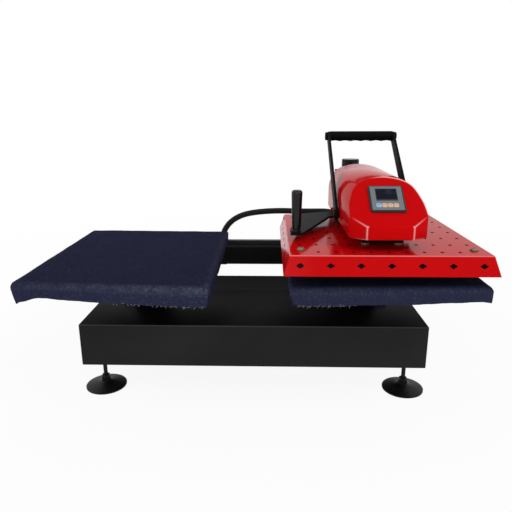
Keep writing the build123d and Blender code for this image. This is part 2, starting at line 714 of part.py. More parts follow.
def head_shroud():
    """The red sheet shroud over the press mechanism, open underneath."""
    outer = shroud_form(0.0)
    behind = SHROUD_FRONT + SHROUD_DEPTH / 2
    creases = [edge for edge in outer.edges().filter_by(Axis.Z) if edge.center().Y < behind]
    shell = fillet(creases, SHROUD_EDGE) - shroud_form(SHROUD_WALL)
    shell -= cross_rod(HEAD_X - 2 * SHROUD_HALF, HEAD_X + 2 * SHROUD_HALF, SHAFT_Y, SHAFT_Z, SHAFT_DIAMETER + 8)
    reach = CHEEK_X + CHEEK + 3
    back = SHROUD_FRONT + SHROUD_DEPTH
    shell -= block(HEAD_X - reach, HEAD_X + reach, back - 3 * SHROUD_WALL, back + 1, SHROUD_BOTTOM - 1,
                   CHEEK_BOTTOM + CHEEK_HEIGHT + 3)
    shell -= on_panel(Box(PANEL_BODY + 1, PANEL_BODY + 1, 60), 0, 0, 0)
    return shell


def panel_plane():
    """The middle of the controller's seat, with local Z out of the shroud and local Y up its slope."""
    lean = math.atan(SHROUD_LEAN)
    up = PANEL_UP
    y = SHROUD_FRONT + up * math.sin(lean)
    z = SHROUD_BREAK + up * math.cos(lean)
    return Plane(origin=(HEAD_X, y, z), x_dir=(1, 0, 0), z_dir=(0, -math.cos(lean), math.sin(lean)))


def on_panel(shape, x, y, z):
    return panel_plane().location * Pos(x, y, z) * shape


def key_places():
    first = KEY_SHIFT - 1.5 * KEY_PITCH
    return [(first + index * KEY_PITCH, -PANEL_SIDE / 2 + KEY_ROW) for index in range(4)]


def controller_case():
    half = PANEL_SIDE / 2
    front = PANEL_RIM
    rim = Pos(0, 0, front / 2) * Box(PANEL_SIDE, PANEL_SIDE, front)
    rim = fillet(rim.edges().filter_by(Axis.Z), 4)
    rim = chamfer(rim.faces().sort_by(Axis.Z)[-1].edges(), 1.5)
    body = Pos(0, 0, -PANEL_BODY_DEPTH / 2) * Box(PANEL_BODY, PANEL_BODY, PANEL_BODY_DEPTH)
    case = rim + body
    case -= Pos(0, half - DISPLAY_INSET - DISPLAY_HEIGHT / 2, front) * Box(DISPLAY_WIDTH, DISPLAY_HEIGHT, 2 * 2.0)
    for x, y in key_places():
        case -= Pos(x, y, front) * Cylinder(KEY_DIAMETER / 2 + SLIDING, 2 * (KEY_TRAVEL + 2.5))
    return on_panel(case, 0, 0, 0)


def display_window():
    half = PANEL_SIDE / 2
    pane = Box(DISPLAY_WIDTH, DISPLAY_HEIGHT, 1.8)
    return on_panel(pane, 0, half - DISPLAY_INSET - DISPLAY_HEIGHT / 2, PANEL_RIM - 2.0 + 0.9)


def key(index):
    x, y = key_places()[index]
    height = 2.5 + KEY_TRAVEL
    cap = Cylinder(KEY_DIAMETER / 2, height)
    cap = fillet(cap.edges().group_by(Axis.Z)[-1], 0.8)
    return on_panel(cap, x, y, PANEL_RIM - 2.5 + 0.2 + height / 2)


def shroud_brackets():
    """Angle brackets that join the shroud's sides to the cheeks."""
    pieces = []
    outer = SHROUD_HALF - SHROUD_WALL
    for side in (-1, 1):
        for y in (SHAFT_Y - SHROUD_BRACKET_AHEAD, SHAFT_Y + SHROUD_BRACKET_BEHIND):
            near, far = HEAD_X + side * (CHEEK_X + CHEEK), HEAD_X + side * outer
            x0, x1 = sorted((near, far))
            web = block(x0, x1, y, y + 3, CHEEK_BOTTOM + 18, CHEEK_BOTTOM + 42)
            a0, a1 = sorted((near, near + side * 3))
            b0, b1 = sorted((far, far - side * 3))
            web += block(a0, a1, y, y + 20, CHEEK_BOTTOM + 18, CHEEK_BOTTOM + 42)
            web += block(b0, b1, y, y + 20, CHEEK_BOTTOM + 18, CHEEK_BOTTOM + 42)
            pieces.append(web)
    return pieces


def grip_bracket():
    """A bent flat plate from under the left cheek forward to the side grip."""
    x, y, half = SIDE_GRIP_X, SIDE_GRIP_Y, BRACKET_HALF
    root = HEAD_X - CHEEK_X - BRACKET_PLATE
    back = y + BRACKET_REACH_BACK
    points = [(x - half, y - half), (x + half, y - half), (x + BRACKET_BEND_OUT, y + BRACKET_BEND - half),
              (root, back - BRACKET_ROOT), (root, back), (x + 1.5 * half, back - BRACKET_ROOT + half),
              (x - half, y + 1.5 * half)]
    return plate_from(points, CHEEK_BOTTOM - BRACKET_PLATE, BRACKET_PLATE)


def side_grip():
    """A tapered moulded grip on a hexagonal foot."""
    foot = 5.0
    z = CHEEK_BOTTOM
    grip = Pos(0, 0, foot + SIDE_GRIP_LENGTH / 2) * Cone(SIDE_GRIP_NECK / 2, SIDE_GRIP_DIAMETER / 2, SIDE_GRIP_LENGTH)
    grip = fillet(grip.edges().group_by(Axis.Z)[-1], 4)
    return Pos(SIDE_GRIP_X, SIDE_GRIP_Y, z) * (grip + hexagon(0, 0, 0, foot, SIDE_GRIP_NECK))


# Lift knob

def lift_screw():
    return post(HEAD_X, COLUMN_Y, COLUMN_TOP + 0.2, knob_bottom(), SCREW_DIAMETER)


def knob_bottom():
    return COLUMN_TOP + 2 + SLEEVE_CAP + LIFT_RANGE + 4


def pressure_knob():
    z = knob_bottom()
    knob = post(0, 0, 0, KNOB_HEIGHT, KNOB_DIAMETER)
    knob = fillet(knob.edges().group_by(Axis.Z)[-1], 3)
    for index in range(KNOB_FLUTES):
        angle = math.radians(index * 360 / KNOB_FLUTES)
        reach = KNOB_DIAMETER / 2 + 2.0
        knob -= post(reach * math.cos(angle), reach * math.sin(angle), -1, KNOB_HEIGHT + 1, 7)
    return Pos(HEAD_X, COLUMN_Y, z) * knob


# Press handle

def handle_point(reach):
    lean = math.radians(HANDLE_LEAN)
    return SHAFT_Y + reach * math.cos(lean), SHAFT_Z + reach * math.sin(lean)


def handle_arms():
    """Two flat bars, wide at the shaft and narrower at the grip."""
    y, z = handle_point(HANDLE_REACH)
    lean = math.radians(HANDLE_LEAN)
    normal = (-math.sin(lean), math.cos(lean))
    arms = []
    for side in (-1, 1):
        x = HEAD_X + side * HANDLE_ARM_OFFSET - HANDLE_ARM / 2
        bar = side_profile([
            (SHAFT_Y + normal[0] * HANDLE_HUB_RADIUS * 0.98, SHAFT_Z + normal[1] * HANDLE_HUB_RADIUS * 0.98),
            (y + normal[0] * HANDLE_TOP_RADIUS, z + normal[1] * HANDLE_TOP_RADIUS),
            (y - normal[0] * HANDLE_TOP_RADIUS, z - normal[1] * HANDLE_TOP_RADIUS),
            (SHAFT_Y - normal[0] * HANDLE_HUB_RADIUS * 0.98, SHAFT_Z - normal[1] * HANDLE_HUB_RADIUS * 0.98),
        ], x, HANDLE_ARM)
        bar += cross_rod(x, x + HANDLE_ARM, SHAFT_Y, SHAFT_Z, 2 * HANDLE_HUB_RADIUS)
        bar += cross_rod(x, x + HANDLE_ARM, y, z, 2 * HANDLE_TOP_RADIUS)
        bar -= cross_rod(x - 1, x + HANDLE_ARM + 1, y, z, HANDLE_BAR_DIAMETER)
        bar -= cross_rod(x - 1, x + HANDLE_ARM + 1, SHAFT_Y, SHAFT_Z, SHAFT_DIAMETER)
        arms.append(bar)
    return arms


def handle_bar():
    y, z = handle_point(HANDLE_REACH)
    reach = HANDLE_ARM_OFFSET + HANDLE_ARM / 2
    bar = cross_rod(HEAD_X - reach, HEAD_X + reach, y, z, HANDLE_BAR_DIAMETER)
    nut = Rot(0, 90, 0) * extrude(RegularPolygon(HANDLE_NUT / 2, 6, major_radius=False), HANDLE_NUT_HEIGHT / 2, both=True)
    for side in (-1, 1):
        bar += Pos(HEAD_X + side * (reach + HANDLE_NUT_HEIGHT / 2), y, z) * nut
    return bar


def handle_grip():
    """A moulded grip with finger hollows on its underside."""
    y, z = handle_point(HANDLE_REACH)
    half = HANDLE_ARM_OFFSET - HANDLE_ARM / 2
    grip = cross_rod(-half, half, 0, 0, GRIP_DIAMETER)
    pitch = 2 * half / GRIP_SCALLOPS
    hollow = (pitch * pitch / 4 * 0.8 + GRIP_SCALLOP_DEPTH ** 2) / (2 * GRIP_SCALLOP_DEPTH)
    for index in range(GRIP_SCALLOPS):
        x = -half + pitch * (index + 0.5)
        drum = Pos(x, 0, -GRIP_DIAMETER / 2 + GRIP_SCALLOP_DEPTH - hollow) * Rot(90, 0, 0) * Cylinder(
            hollow, 3 * GRIP_DIAMETER)
        grip -= drum
    grip -= cross_rod(-half - 1, half + 1, 0, 0, HANDLE_BAR_DIAMETER)
    return Pos(HEAD_X, y, z) * grip


def handle_shaft():
    reach = HANDLE_ARM_OFFSET + HANDLE_ARM / 2
    return cross_rod(HEAD_X - reach - 3, HEAD_X + reach + 3, SHAFT_Y, SHAFT_Z, SHAFT_DIAMETER)


def cam_point(degrees):
    """A point of the cam's flank, (y, z) from the shaft: a spiral set off by the roller's radius."""
    turn = math.radians(degrees)
    reach = ROLLER_DROP + CAM_GAIN * turn
    angle = -math.pi / 2 - turn
    out = (math.cos(angle), math.sin(angle))
    around = (math.sin(angle), -math.cos(angle))
    tangent = (CAM_GAIN * out[0] + reach * around[0], CAM_GAIN * out[1] + reach * around[1])
    size = math.hypot(*tangent)
    normal = (tangent[1] / size, -tangent[0] / size)
    if normal[0] * out[0] + normal[1] * out[1] < 0:
        normal = (-normal[0], -normal[1])
    inset = ROLLER_DIAMETER / 2 + SLIDING
    return reach * out[0] - inset * normal[0], reach * out[1] - inset * normal[1]


def press_cam():
    """A plate cam whose flank lowers the roller in step with the handle's turn."""
    steps = 10
    span = HANDLE_TRAVEL + 2 * CAM_MARGIN
    flank = [cam_point(-CAM_MARGIN + span * index / steps) for index in range(steps + 1)]
    middle = (CAM_HUB_RADIUS * 0.75, CAM_HUB_RADIUS * 0.8)
    outline = [Spline(*flank), ThreePointArc(flank[-1], middle, flank[0])]
    face = make_face(outline)
    x = HEAD_X - CAM_WIDTH / 2
    profile = Plane(origin=(x, SHAFT_Y, SHAFT_Z), x_dir=(0, 1, 0), z_dir=(1, 0, 0)) * face
    cam = extrude(profile, CAM_WIDTH)
    cam += cross_rod(x, x + CAM_WIDTH, SHAFT_Y, SHAFT_Z, 2 * CAM_HUB_RADIUS)
    return cam - cross_rod(x - 1, x + CAM_WIDTH + 1, SHAFT_Y, SHAFT_Z, SHAFT_DIAMETER)


# Press head

def hanger_places():
    return corners(HANGER_SPACING_X / 2, HANGER_SPACING_Y / 2, SHAFT_Y, HEAD_X)


def cover_screw_places():
    return corners(COVER_SCREW_X, COVER_SCREW_Y / 2, COVER_Y, HEAD_X)


def roller_z():
    return SHAFT_Z - ROLLER_DROP


def crosshead():
    """The plate that the roller pushes down and the guide rods keep level."""
    z0, z1 = CROSSHEAD_BOTTOM, CROSSHEAD_BOTTOM + CROSSHEAD
    half_x, half_y = CROSSHEAD_WIDTH / 2, CROSSHEAD_DEPTH / 2
    plate = block(HEAD_X - half_x, HEAD_X + half_x, SHAFT_Y - half_y, SHAFT_Y + half_y, z0, z1)
    half_slot = ROLLER_WIDTH / 2 + FREE
    lug = 9.0
    plate += block(HEAD_X - half_slot - lug, HEAD_X + half_slot + lug, SHAFT_Y - 9, SHAFT_Y + 9, z1, roller_z() + 8)
    reach = ROLLER_DIAMETER / 2 + 2
    plate -= block(HEAD_X - half_slot, HEAD_X + half_slot, SHAFT_Y - reach, SHAFT_Y + reach, z0 - 1, z1 + 20)
    plate -= cross_rod(HEAD_X - half_slot - lug, HEAD_X + half_x + 1, SHAFT_Y, roller_z(), ROLLER_PIN_DIAMETER)
    for y in guide_places():
        plate -= post(HEAD_X, y, z0 - 1, z1 + 1, ROD_DIAMETER)
    for x, y in hanger_places():
        plate -= post(x, y, z0 - 1, z1 + 1, HANGER_DIAMETER)
    return plate


def roller_pin():
    reach = ROLLER_WIDTH / 2 + FREE + 9.0
    return cross_rod(HEAD_X - reach, HEAD_X + reach, SHAFT_Y, roller_z(), ROLLER_PIN_DIAMETER)


def roller():
    half = ROLLER_WIDTH / 2
    wheel = cross_rod(HEAD_X - half, HEAD_X + half, SHAFT_Y, roller_z(), ROLLER_DIAMETER)
    bore = cross_rod(HEAD_X - half - 1, HEAD_X + half + 1, SHAFT_Y, roller_z(), ROLLER_PIN_DIAMETER + 2 * RUNNING)
    return wheel - bore


def guide_rods():
    return [post(HEAD_X, y, CROSSHEAD_BOTTOM, ROD_TOP, ROD_DIAMETER) for y in guide_places()]


def spring_collars():
    z0 = ROD_TOP - COLLAR_HEIGHT
    return [post(HEAD_X, y, z0, ROD_TOP, COLLAR_DIAMETER) - post(HEAD_X, y, z0 - 1, ROD_TOP + 1, ROD_DIAMETER)
            for y in guide_places()]


def hanger_bolts():
    """Studs from the heat block up through the cover, with a spacer and a nut at the crosshead."""
    low = HEATER_TOP - 12
    z1 = CROSSHEAD_BOTTOM + CROSSHEAD
    bolts = []
    for x, y in hanger_places():
        bolt = post(x, y, low, z1 + 6, HANGER_DIAMETER)
        bolt += hexagon(x, y, COVER_TOP_Z, CROSSHEAD_BOTTOM, 16)
        bolt += hexagon(x, y, z1, z1 + 5, 16)
        bolts.append(bolt)
    return bolts


def element_path():
    """The element's centreline: legs along Y, joined by half turns, both ends at the back."""
    front = COVER_Y - HEATER_DEPTH / 2 + ELEMENT_END
    back = COVER_Y + HEATER_DEPTH / 2 - ELEMENT_END
    first = HEAD_X - ELEMENT_PITCH * (ELEMENT_LEGS - 1) / 2
    out = COVER_Y + HEATER_DEPTH / 2
    lines = []
    for leg in range(ELEMENT_LEGS):
        x = first + leg * ELEMENT_PITCH
        top = out if leg in (0, ELEMENT_LEGS - 1) else back
        start, end = ((x, top), (x, front)) if leg % 2 == 0 else ((x, front), (x, top))
        lines.append(Line(start, end))
        if leg < ELEMENT_LEGS - 1:
            turn_y = front if leg % 2 == 0 else back
            bulge = -ELEMENT_PITCH / 2 if leg % 2 == 0 else ELEMENT_PITCH / 2
            lines.append(ThreePointArc((x, turn_y), (x + ELEMENT_PITCH / 2, turn_y + bulge), (x + ELEMENT_PITCH, turn_y)))
    return Wire(lines)


def element_bar(width, low):
    """The element as a bar of square section, or its groove."""
    path = element_path()
    start = Plane(origin=path @ 0, x_dir=(1, 0, 0), z_dir=path % 0)
    height = HEATER_TOP - low
    bar = sweep(start * Rectangle(width, height), path=path)
    return Pos(0, 0, low + height / 2) * bar


def heating_element():
    return element_bar(ELEMENT_WIDTH, HEATER_TOP - ELEMENT_WIDTH)


def heat_block():
    half_x, half_y = HEATER_WIDTH / 2, HEATER_DEPTH / 2
    slab = block(HEAD_X - half_x, HEAD_X + half_x, COVER_Y - half_y, COVER_Y + half_y, HEATER_BOTTOM, HEATER_TOP)
    slab = fillet(slab.edges().filter_by(Axis.Z), 6)
    slab = chamfer(slab.edges().group_by(Axis.Z)[0], 1)
    slab -= element_bar(ELEMENT_WIDTH, HEATER_TOP - ELEMENT_WIDTH)
    for x, y in hanger_places():
        slab -= post(x, y, HEATER_TOP - 12, HEATER_TOP + 1, HANGER_DIAMETER)
    return slab


def insulation_mat():
    half_x, half_y = HEATER_WIDTH / 2 - 4, HEATER_DEPTH / 2 - 4
    z1 = HEATER_TOP + MAT_THICKNESS
    mat = block(HEAD_X - half_x, HEAD_X + half_x, COVER_Y - half_y, COVER_Y + half_y, HEATER_TOP, z1)
    for x, y in hanger_places():
        mat -= post(x, y, HEATER_TOP - 1, z1 + 1, HANGER_DIAMETER + 1)
    for x, y in cover_screw_places():
        mat -= post(x, y, HEATER_TOP - 1, z1 + 1, 2 * COVER_SCREW_DIAMETER + 1)
    return mat


def cover_form(inset):
    """The cover's outer form, or the space under it when inset is the sheet."""
    def ring(grow, z):
        half_x = COVER_TOP_WIDTH / 2 + grow - inset
        half_y = COVER_TOP_DEPTH / 2 + grow - inset
        return Pos(HEAD_X, COVER_Y, z) * Rectangle(2 * half_x, 2 * half_y)
    slope = COVER_FLARE / COVER_DROP
    high = COVER_TOP_Z - inset
    low = COVER_TOP_Z - COVER_DROP - (2.0 if inset else 0.0)
    return loft([ring(slope * (COVER_TOP_Z - low), low), ring(slope * (COVER_TOP_Z - high), high)], ruled=True)


def diamond(long_x, long_y):
    points = [(long_x / 2, 0), (0, long_y / 2), (-long_x / 2, 0), (0, -long_y / 2)]
    return make_face(Polyline(*points, close=True))


def cover_hole_places():
    """Ventilation holes on the cover's top, left out under the shroud and at the screws."""
    columns = int((COVER_TOP_WIDTH / 2 - HOLE_WIDTH) // HOLE_PITCH_X)
    rows = int((COVER_TOP_FRONT + COVER_TOP_DEPTH - HOLE_FRONT) // HOLE_PITCH_Y) + 1
    places = []
    for row in range(rows):
        for column in range(-columns, columns + 1):
            x = HEAD_X + column * HOLE_PITCH_X
            y = HOLE_FRONT + row * HOLE_PITCH_Y
            at_screw = any(math.hypot(x - sx, y - sy) < 20 for sx, sy in cover_screw_places())
            under_shroud = row > 0 and abs(x - HEAD_X) < SHROUD_HALF - 10
            if not at_screw and not under_shroud:
                places.append((x, y))
    return places


def heat_cover():
    """The red sheet cover over the heat block, with diamond ventilation holes."""
    outer = cover_form(0.0)
    folds = [edge for edge in outer.edges() if edge.bounding_box().max.Z > COVER_TOP_Z - FREE]
    cover = fillet(folds, COVER_EDGE) - cover_form(COVER_SHEET)
    for x, y in cover_hole_places():
        cover -= Pos(x, y, COVER_TOP_Z - 5) * extrude(diamond(HOLE_WIDTH, HOLE_LENGTH), 10)
    flange_z = COVER_TOP_Z - COVER_DROP / 2
    half_x = COVER_TOP_WIDTH / 2 + COVER_FLARE / 2
    half_y = COVER_TOP_DEPTH / 2 + COVER_FLARE / 2
    for index in range(-3, 4):
        along = index * FLANGE_HOLE_PITCH
        cutter = extrude(diamond(FLANGE_HOLE_WIDTH, FLANGE_HOLE_HEIGHT), 8, both=True)
        for y in (COVER_Y - half_y, COVER_Y + half_y):
            cover -= Pos(HEAD_X + along, y, flange_z) * Rot(90, 0, 0) * cutter
        for x in (HEAD_X - half_x, HEAD_X + half_x):
            cover -= Pos(x, COVER_Y + along, flange_z) * Rot(0, 0, 90) * Rot(90, 0, 0) * cutter
    for x, y in hanger_places():
        cover -= post(x, y, COVER_TOP_Z - 5, COVER_TOP_Z + 5, HANGER_DIAMETER + 0.4)
    for x, y in cover_screw_places():
        cover -= post(x, y, COVER_TOP_Z - 5, COVER_TOP_Z + 5, COVER_SCREW_DIAMETER + 0.4)
    return cover


def cover_screws():
    """A spacer on the heat block, and a washer and a domed screw on the cover, at each corner."""
    screws = []
    for x, y in cover_screw_places():
        screw = post(x, y, HEATER_TOP, COVER_TOP_Z - COVER_SHEET, 2 * COVER_SCREW_DIAMETER)
        screw += post(x, y, COVER_TOP_Z - COVER_SHEET, COVER_TOP_Z + 2, COVER_SCREW_DIAMETER)
        screw += post(x, y, COVER_TOP_Z, COVER_TOP_Z + 1.5, 2 * COVER_SCREW_DIAMETER + 2)
        screw += hexagon(x, y, COVER_TOP_Z + 1.5, COVER_TOP_Z + 6, 13)
        screws.append(screw)
    return screws


def build_base():
    save("front_housing", front_housing())
    save("housing_bottom_plate", housing_bottom_plate())
    save("rear_deck", rear_deck())
    save("mains_inlet", mains_inlet())
    save("side_members", *side_members())
    save("rear_beam", rear_beam())
    save("guide_rails", *guide_rails())
    save("end_stops", *end_stops())
    save("junction_box", junction_box())
    save("hose_gland", hose_gland())
    save("wiring_hose", wiring_hose())
    save("solid_state_relay", solid_state_relay())
    save("lock_nuts", *lock_nuts())
    for name, (x, y) in foot_places():
        save("foot_" + name, *levelling_foot(x, y))


def build_stations():
    save("platen_stands", *platen_stands())
    save("platen_spiders", *platen_spiders())
    save("lower_plates", *lower_plates())
    save("foam_pads", *foam_pads())
    save("pad_cover_left", pad_cover(PLATEN_X[0]))
    save("pad_cover_right", pad_cover(PLATEN_X[1]))


def build_carriage():
    save("saddle", saddle())
    save("bearing_blocks", *bearing_blocks())
    save("column", column())
    save("column_gland", column_gland())


def build_arm():
    save("lift_sleeve", lift_sleeve())
    save("arm_cheeks", *arm_cheeks())
    save("guide_blocks", *guide_blocks())
    save("bushes", *bushes())
    save("return_springs", *return_springs())
    save("head_shroud", head_shroud())
    save("shroud_brackets", *shroud_brackets())
    save("grip_bracket", grip_bracket())
    save("side_grip", side_grip())
    save("controller_case", controller_case())
    save("display_window", display_window())
    for index, name in enumerate(("key_power", "key_set", "key_down", "key_up")):
        save(name, key(index))
    save("lift_screw", lift_screw())
    save("pressure_knob", pressure_knob())


def build_handle():
    save("handle_arms", *handle_arms())
    save("handle_bar", handle_bar())
    save("handle_grip", handle_grip())
    save("handle_shaft", handle_shaft())
    save("press_cam", press_cam())


def build_press_head():
    save("crosshead", crosshead())
    save("roller_pin", roller_pin())
    save("roller", roller())
    save("guide_rods", *guide_rods())
    save("spring_collars", *spring_collars())
    save("hanger_bolts", *hanger_bolts())
    save("heating_element", heating_element())
    save("heat_block", heat_block())
    save("insulation_mat", insulation_mat())
    save("heat_cover", heat_cover())
    save("cover_screws", *cover_screws())


os.makedirs("parts", exist_ok=True)
build_base()
build_stations()
build_carriage()
build_arm()
build_handle()
build_press_head()
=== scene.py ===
"""Looks for the dual station heat press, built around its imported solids. Metres, +Z up."""
import json
import math
import random

import bpy
from mathutils import Matrix, Vector, noise

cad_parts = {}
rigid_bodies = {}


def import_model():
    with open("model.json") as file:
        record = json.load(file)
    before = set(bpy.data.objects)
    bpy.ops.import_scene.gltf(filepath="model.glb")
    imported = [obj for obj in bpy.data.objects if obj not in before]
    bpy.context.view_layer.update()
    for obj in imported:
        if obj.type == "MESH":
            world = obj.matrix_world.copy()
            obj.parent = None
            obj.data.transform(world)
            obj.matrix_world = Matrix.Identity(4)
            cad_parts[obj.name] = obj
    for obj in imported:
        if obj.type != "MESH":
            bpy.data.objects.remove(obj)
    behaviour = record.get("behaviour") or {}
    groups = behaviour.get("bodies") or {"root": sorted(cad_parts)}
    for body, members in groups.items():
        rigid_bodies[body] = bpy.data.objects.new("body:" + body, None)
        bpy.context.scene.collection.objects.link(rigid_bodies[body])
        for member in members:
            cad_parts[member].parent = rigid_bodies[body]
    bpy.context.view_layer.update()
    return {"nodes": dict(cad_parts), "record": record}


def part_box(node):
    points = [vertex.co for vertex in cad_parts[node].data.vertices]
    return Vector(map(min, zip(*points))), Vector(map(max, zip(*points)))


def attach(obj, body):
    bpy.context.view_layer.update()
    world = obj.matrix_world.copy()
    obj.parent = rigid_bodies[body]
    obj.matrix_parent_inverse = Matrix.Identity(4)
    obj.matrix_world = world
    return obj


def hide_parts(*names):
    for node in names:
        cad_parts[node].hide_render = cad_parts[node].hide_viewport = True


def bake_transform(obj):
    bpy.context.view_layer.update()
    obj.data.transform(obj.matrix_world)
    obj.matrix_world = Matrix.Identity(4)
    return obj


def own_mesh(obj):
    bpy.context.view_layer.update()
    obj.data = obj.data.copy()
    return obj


for thing in list(bpy.data.objects):
    bpy.data.objects.remove(thing)

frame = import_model()
nodes = frame["nodes"]


def placed(name, data):
    """A new object with this data, in the scene."""
    made = bpy.data.objects.new(name, data)
    bpy.context.collection.objects.link(made)
    return made


# Camera: the photograph's viewing angle

CAMERA_PLACE = (0.0438, -1.3457, 0.6577)
PITCH = math.radians(15.53)
YAW = math.radians(-1.78)
ROLL = math.radians(-0.26)

camera_data = bpy.data.cameras.new("photo_camera")
camera_data.lens = 35.1
camera_data.sensor_width = 36.0
camera_data.clip_end = 50.0
camera = placed("photo_camera", camera_data)
turn = (Matrix.Rotation(-YAW, 4, "Z") @ Matrix.Rotation(math.pi / 2 - PITCH, 4, "X")
        @ Matrix.Rotation(ROLL, 4, "Z"))
camera.matrix_world = Matrix.Translation(CAMERA_PLACE) @ turn
bpy.context.scene.camera = camera


# Sizes of the head shroud and of the controller on its sloping front

SHROUD_X = 0.282
SHROUD_FRONT, SHROUD_BACK = -0.370, 0.047
SHROUD_LOW, SHROUD_SHOULDER, SHROUD_HIGH = 0.419, 0.473, 0.534
SHROUD_HALF, SHROUD_NOSE, SHROUD_NOSE_SIDE = 0.079, 0.047, 0.022
SHROUD_BREAK = 0.447
SHROUD_NOSE_TOP = 0.466
SHROUD_WALL = 0.0025
CHEEK_OPENING_HALF, CHEEK_OPENING_TOP = 0.0553, 0.480

PANEL_LEAN = math.atan(1.25)
PANEL_RISE = 0.073
PANEL_CENTRE = (SHROUD_X, SHROUD_FRONT + PANEL_RISE * math.sin(PANEL_LEAN),
                SHROUD_BREAK + PANEL_RISE * math.cos(PANEL_LEAN))


# Shader maths

def maths(operation, backwards=False):
    """A method that adds a Math node, with its own signal as the first value or as the last."""
    def add(signal, *others):
        values = (*others, signal) if backwards else (signal, *others)
        inputs = {"i" + str(index): value for index, value in enumerate(values)}
        return signal.graph.signal("ShaderNodeMath", {"operation": operation}, **inputs)
    return add


class Signal:
    """A shader socket that takes part in Python sums."""

    def __init__(self, graph, socket):
        self.graph = graph
        self.socket = socket

    __add__ = maths("ADD")
    __radd__ = maths("ADD", backwards=True)
    __sub__ = maths("SUBTRACT")
    __rsub__ = maths("SUBTRACT", backwards=True)
    __mul__ = maths("MULTIPLY")
    __rmul__ = maths("MULTIPLY", backwards=True)
    __truediv__ = maths("DIVIDE")
    __pow__ = maths("POWER")
    __gt__ = maths("GREATER_THAN")
    __lt__ = maths("LESS_THAN")
    least = maths("MINIMUM")
    most = maths("MAXIMUM")
    wave = maths("SINE")
    size = maths("ABSOLUTE")

    def clamped(self):
        return self.most(0.0).least(1.0)


class Graph:
    """The shader nodes of one material or world."""

    def __init__(self, owner):
        owner.use_nodes = True
        self.tree = owner.node_tree

    def node(self, kind, settings=None, **inputs):
        """A new node. Each input is a socket's name, or i and its number, with a value or a signal."""
        made = self.tree.nodes.new(kind)
        for key, value in (settings or {}).items():
            setattr(made, key, value)
        for name, value in inputs.items():
            socket = made.inputs[int(name[1:]) if name[1:].isdigit() else name.replace("_", " ")]
            if isinstance(value, Signal):
                self.tree.links.new(value.socket, socket)
            else:
                socket.default_value = value
        return made

    def signal(self, kind, settings=None, output=0, **inputs):
        """One output of a new node."""
        return Signal(self, self.node(kind, settings, **inputs).outputs[output])


class Finish(Graph):
    """One material, with its constant values set on the shader and its pattern added afterwards."""

    def __init__(self, name, colour, roughness, level=0.5, metallic=0.0):
        self.material = bpy.data.materials.new(name)
        super().__init__(self.material)
        self.shader = self.tree.nodes["Principled BSDF"]
        constants = {"Base Color": (*colour, 1.0), "Roughness": roughness, "Metallic": metallic,
                     "Specular IOR Level": level}
        for socket, value in constants.items():
            self.shader.inputs[socket].default_value = value

    def place(self, stretch=(1.0, 1.0, 1.0), centre=(0.0, 0.0, 0.0), uv=False):
        """Object coordinates, or the piece's own map, centred on a point and then stretched."""
        source = self.signal("ShaderNodeTexCoord", output="UV" if uv else "Object")
        moved = self.signal("ShaderNodeVectorMath", {"operation": "SUBTRACT"}, i0=source, i1=centre)
        return self.signal("ShaderNodeVectorMath", {"operation": "MULTIPLY"}, i0=moved, i1=stretch)

    def axes(self, vector):
        split = self.node("ShaderNodeSeparateXYZ", Vector=vector)
        return [Signal(self, output) for output in split.outputs]

    def noise(self, scale, detail=3.0, rough=0.6, at=None):
        return self.signal("ShaderNodeTexNoise", Scale=scale, Detail=detail, Roughness=rough,
                           Vector=at or self.place())

    def cells(self, scale):
        return self.signal("ShaderNodeTexVoronoi", output="Distance", Scale=scale, Vector=self.place())

    def mixed(self, factor, low, high):
        """A colour between two, each of them a signal or three numbers."""
        low, high = [colour if isinstance(colour, Signal) else (*colour, 1.0) for colour in (low, high)]
        return self.signal("ShaderNodeMix", {"data_type": "RGBA"}, output=2, i0=factor, i6=low, i7=high)

    def feed(self, socket, value):
        self.tree.links.new(value.socket, self.shader.inputs[socket])
        return self

    def paint(self, colour):
        return self.feed("Base Color", colour)

    def rough(self, value):
        return self.feed("Roughness", value)

    def relief(self, height, depth, strength):
        bump = self.signal("ShaderNodeBump", Height=height, Distance=depth, Strength=strength)
        return self.feed("Normal", bump)


# Finishes

POWDER_BLACK = ((0.0052, 0.0052, 0.0056), (0.0105, 0.0105, 0.0108))
# The housing's black: the same powder coat, painted lighter as painted light on the housing's front
LIT_HOUSING_BLACK = ((0.0150, 0.0150, 0.0154), (0.0270, 0.0270, 0.0275))
PALE_DUST = (0.050, 0.050, 0.052)
# Painted shade on the housing's top face
SHADED_TOP_BLACK = (0.0036, 0.0036, 0.0038)
# Painted highlight along the housing's front top edge
EDGE_HIGHLIGHT_GREY = (0.085, 0.085, 0.088)
ORANGE = (0.560, 0.230, 0.080)
BLUE = (0.070, 0.230, 0.520)
PEACH = (0.740, 0.480, 0.330)
SKY = (0.330, 0.520, 0.760)
# How deep the painted shade on the housing's top reaches, and how wide its painted highlight line is
TOP_FACE = 0.0006
EDGE_HIGHLIGHT_WIDTH = 0.0022
COVER_FOLD, COVER_MARGIN = 0.0140, 0.020
WEAVE_PITCH = 0.0018
BRAID_STRANDS = 12.0


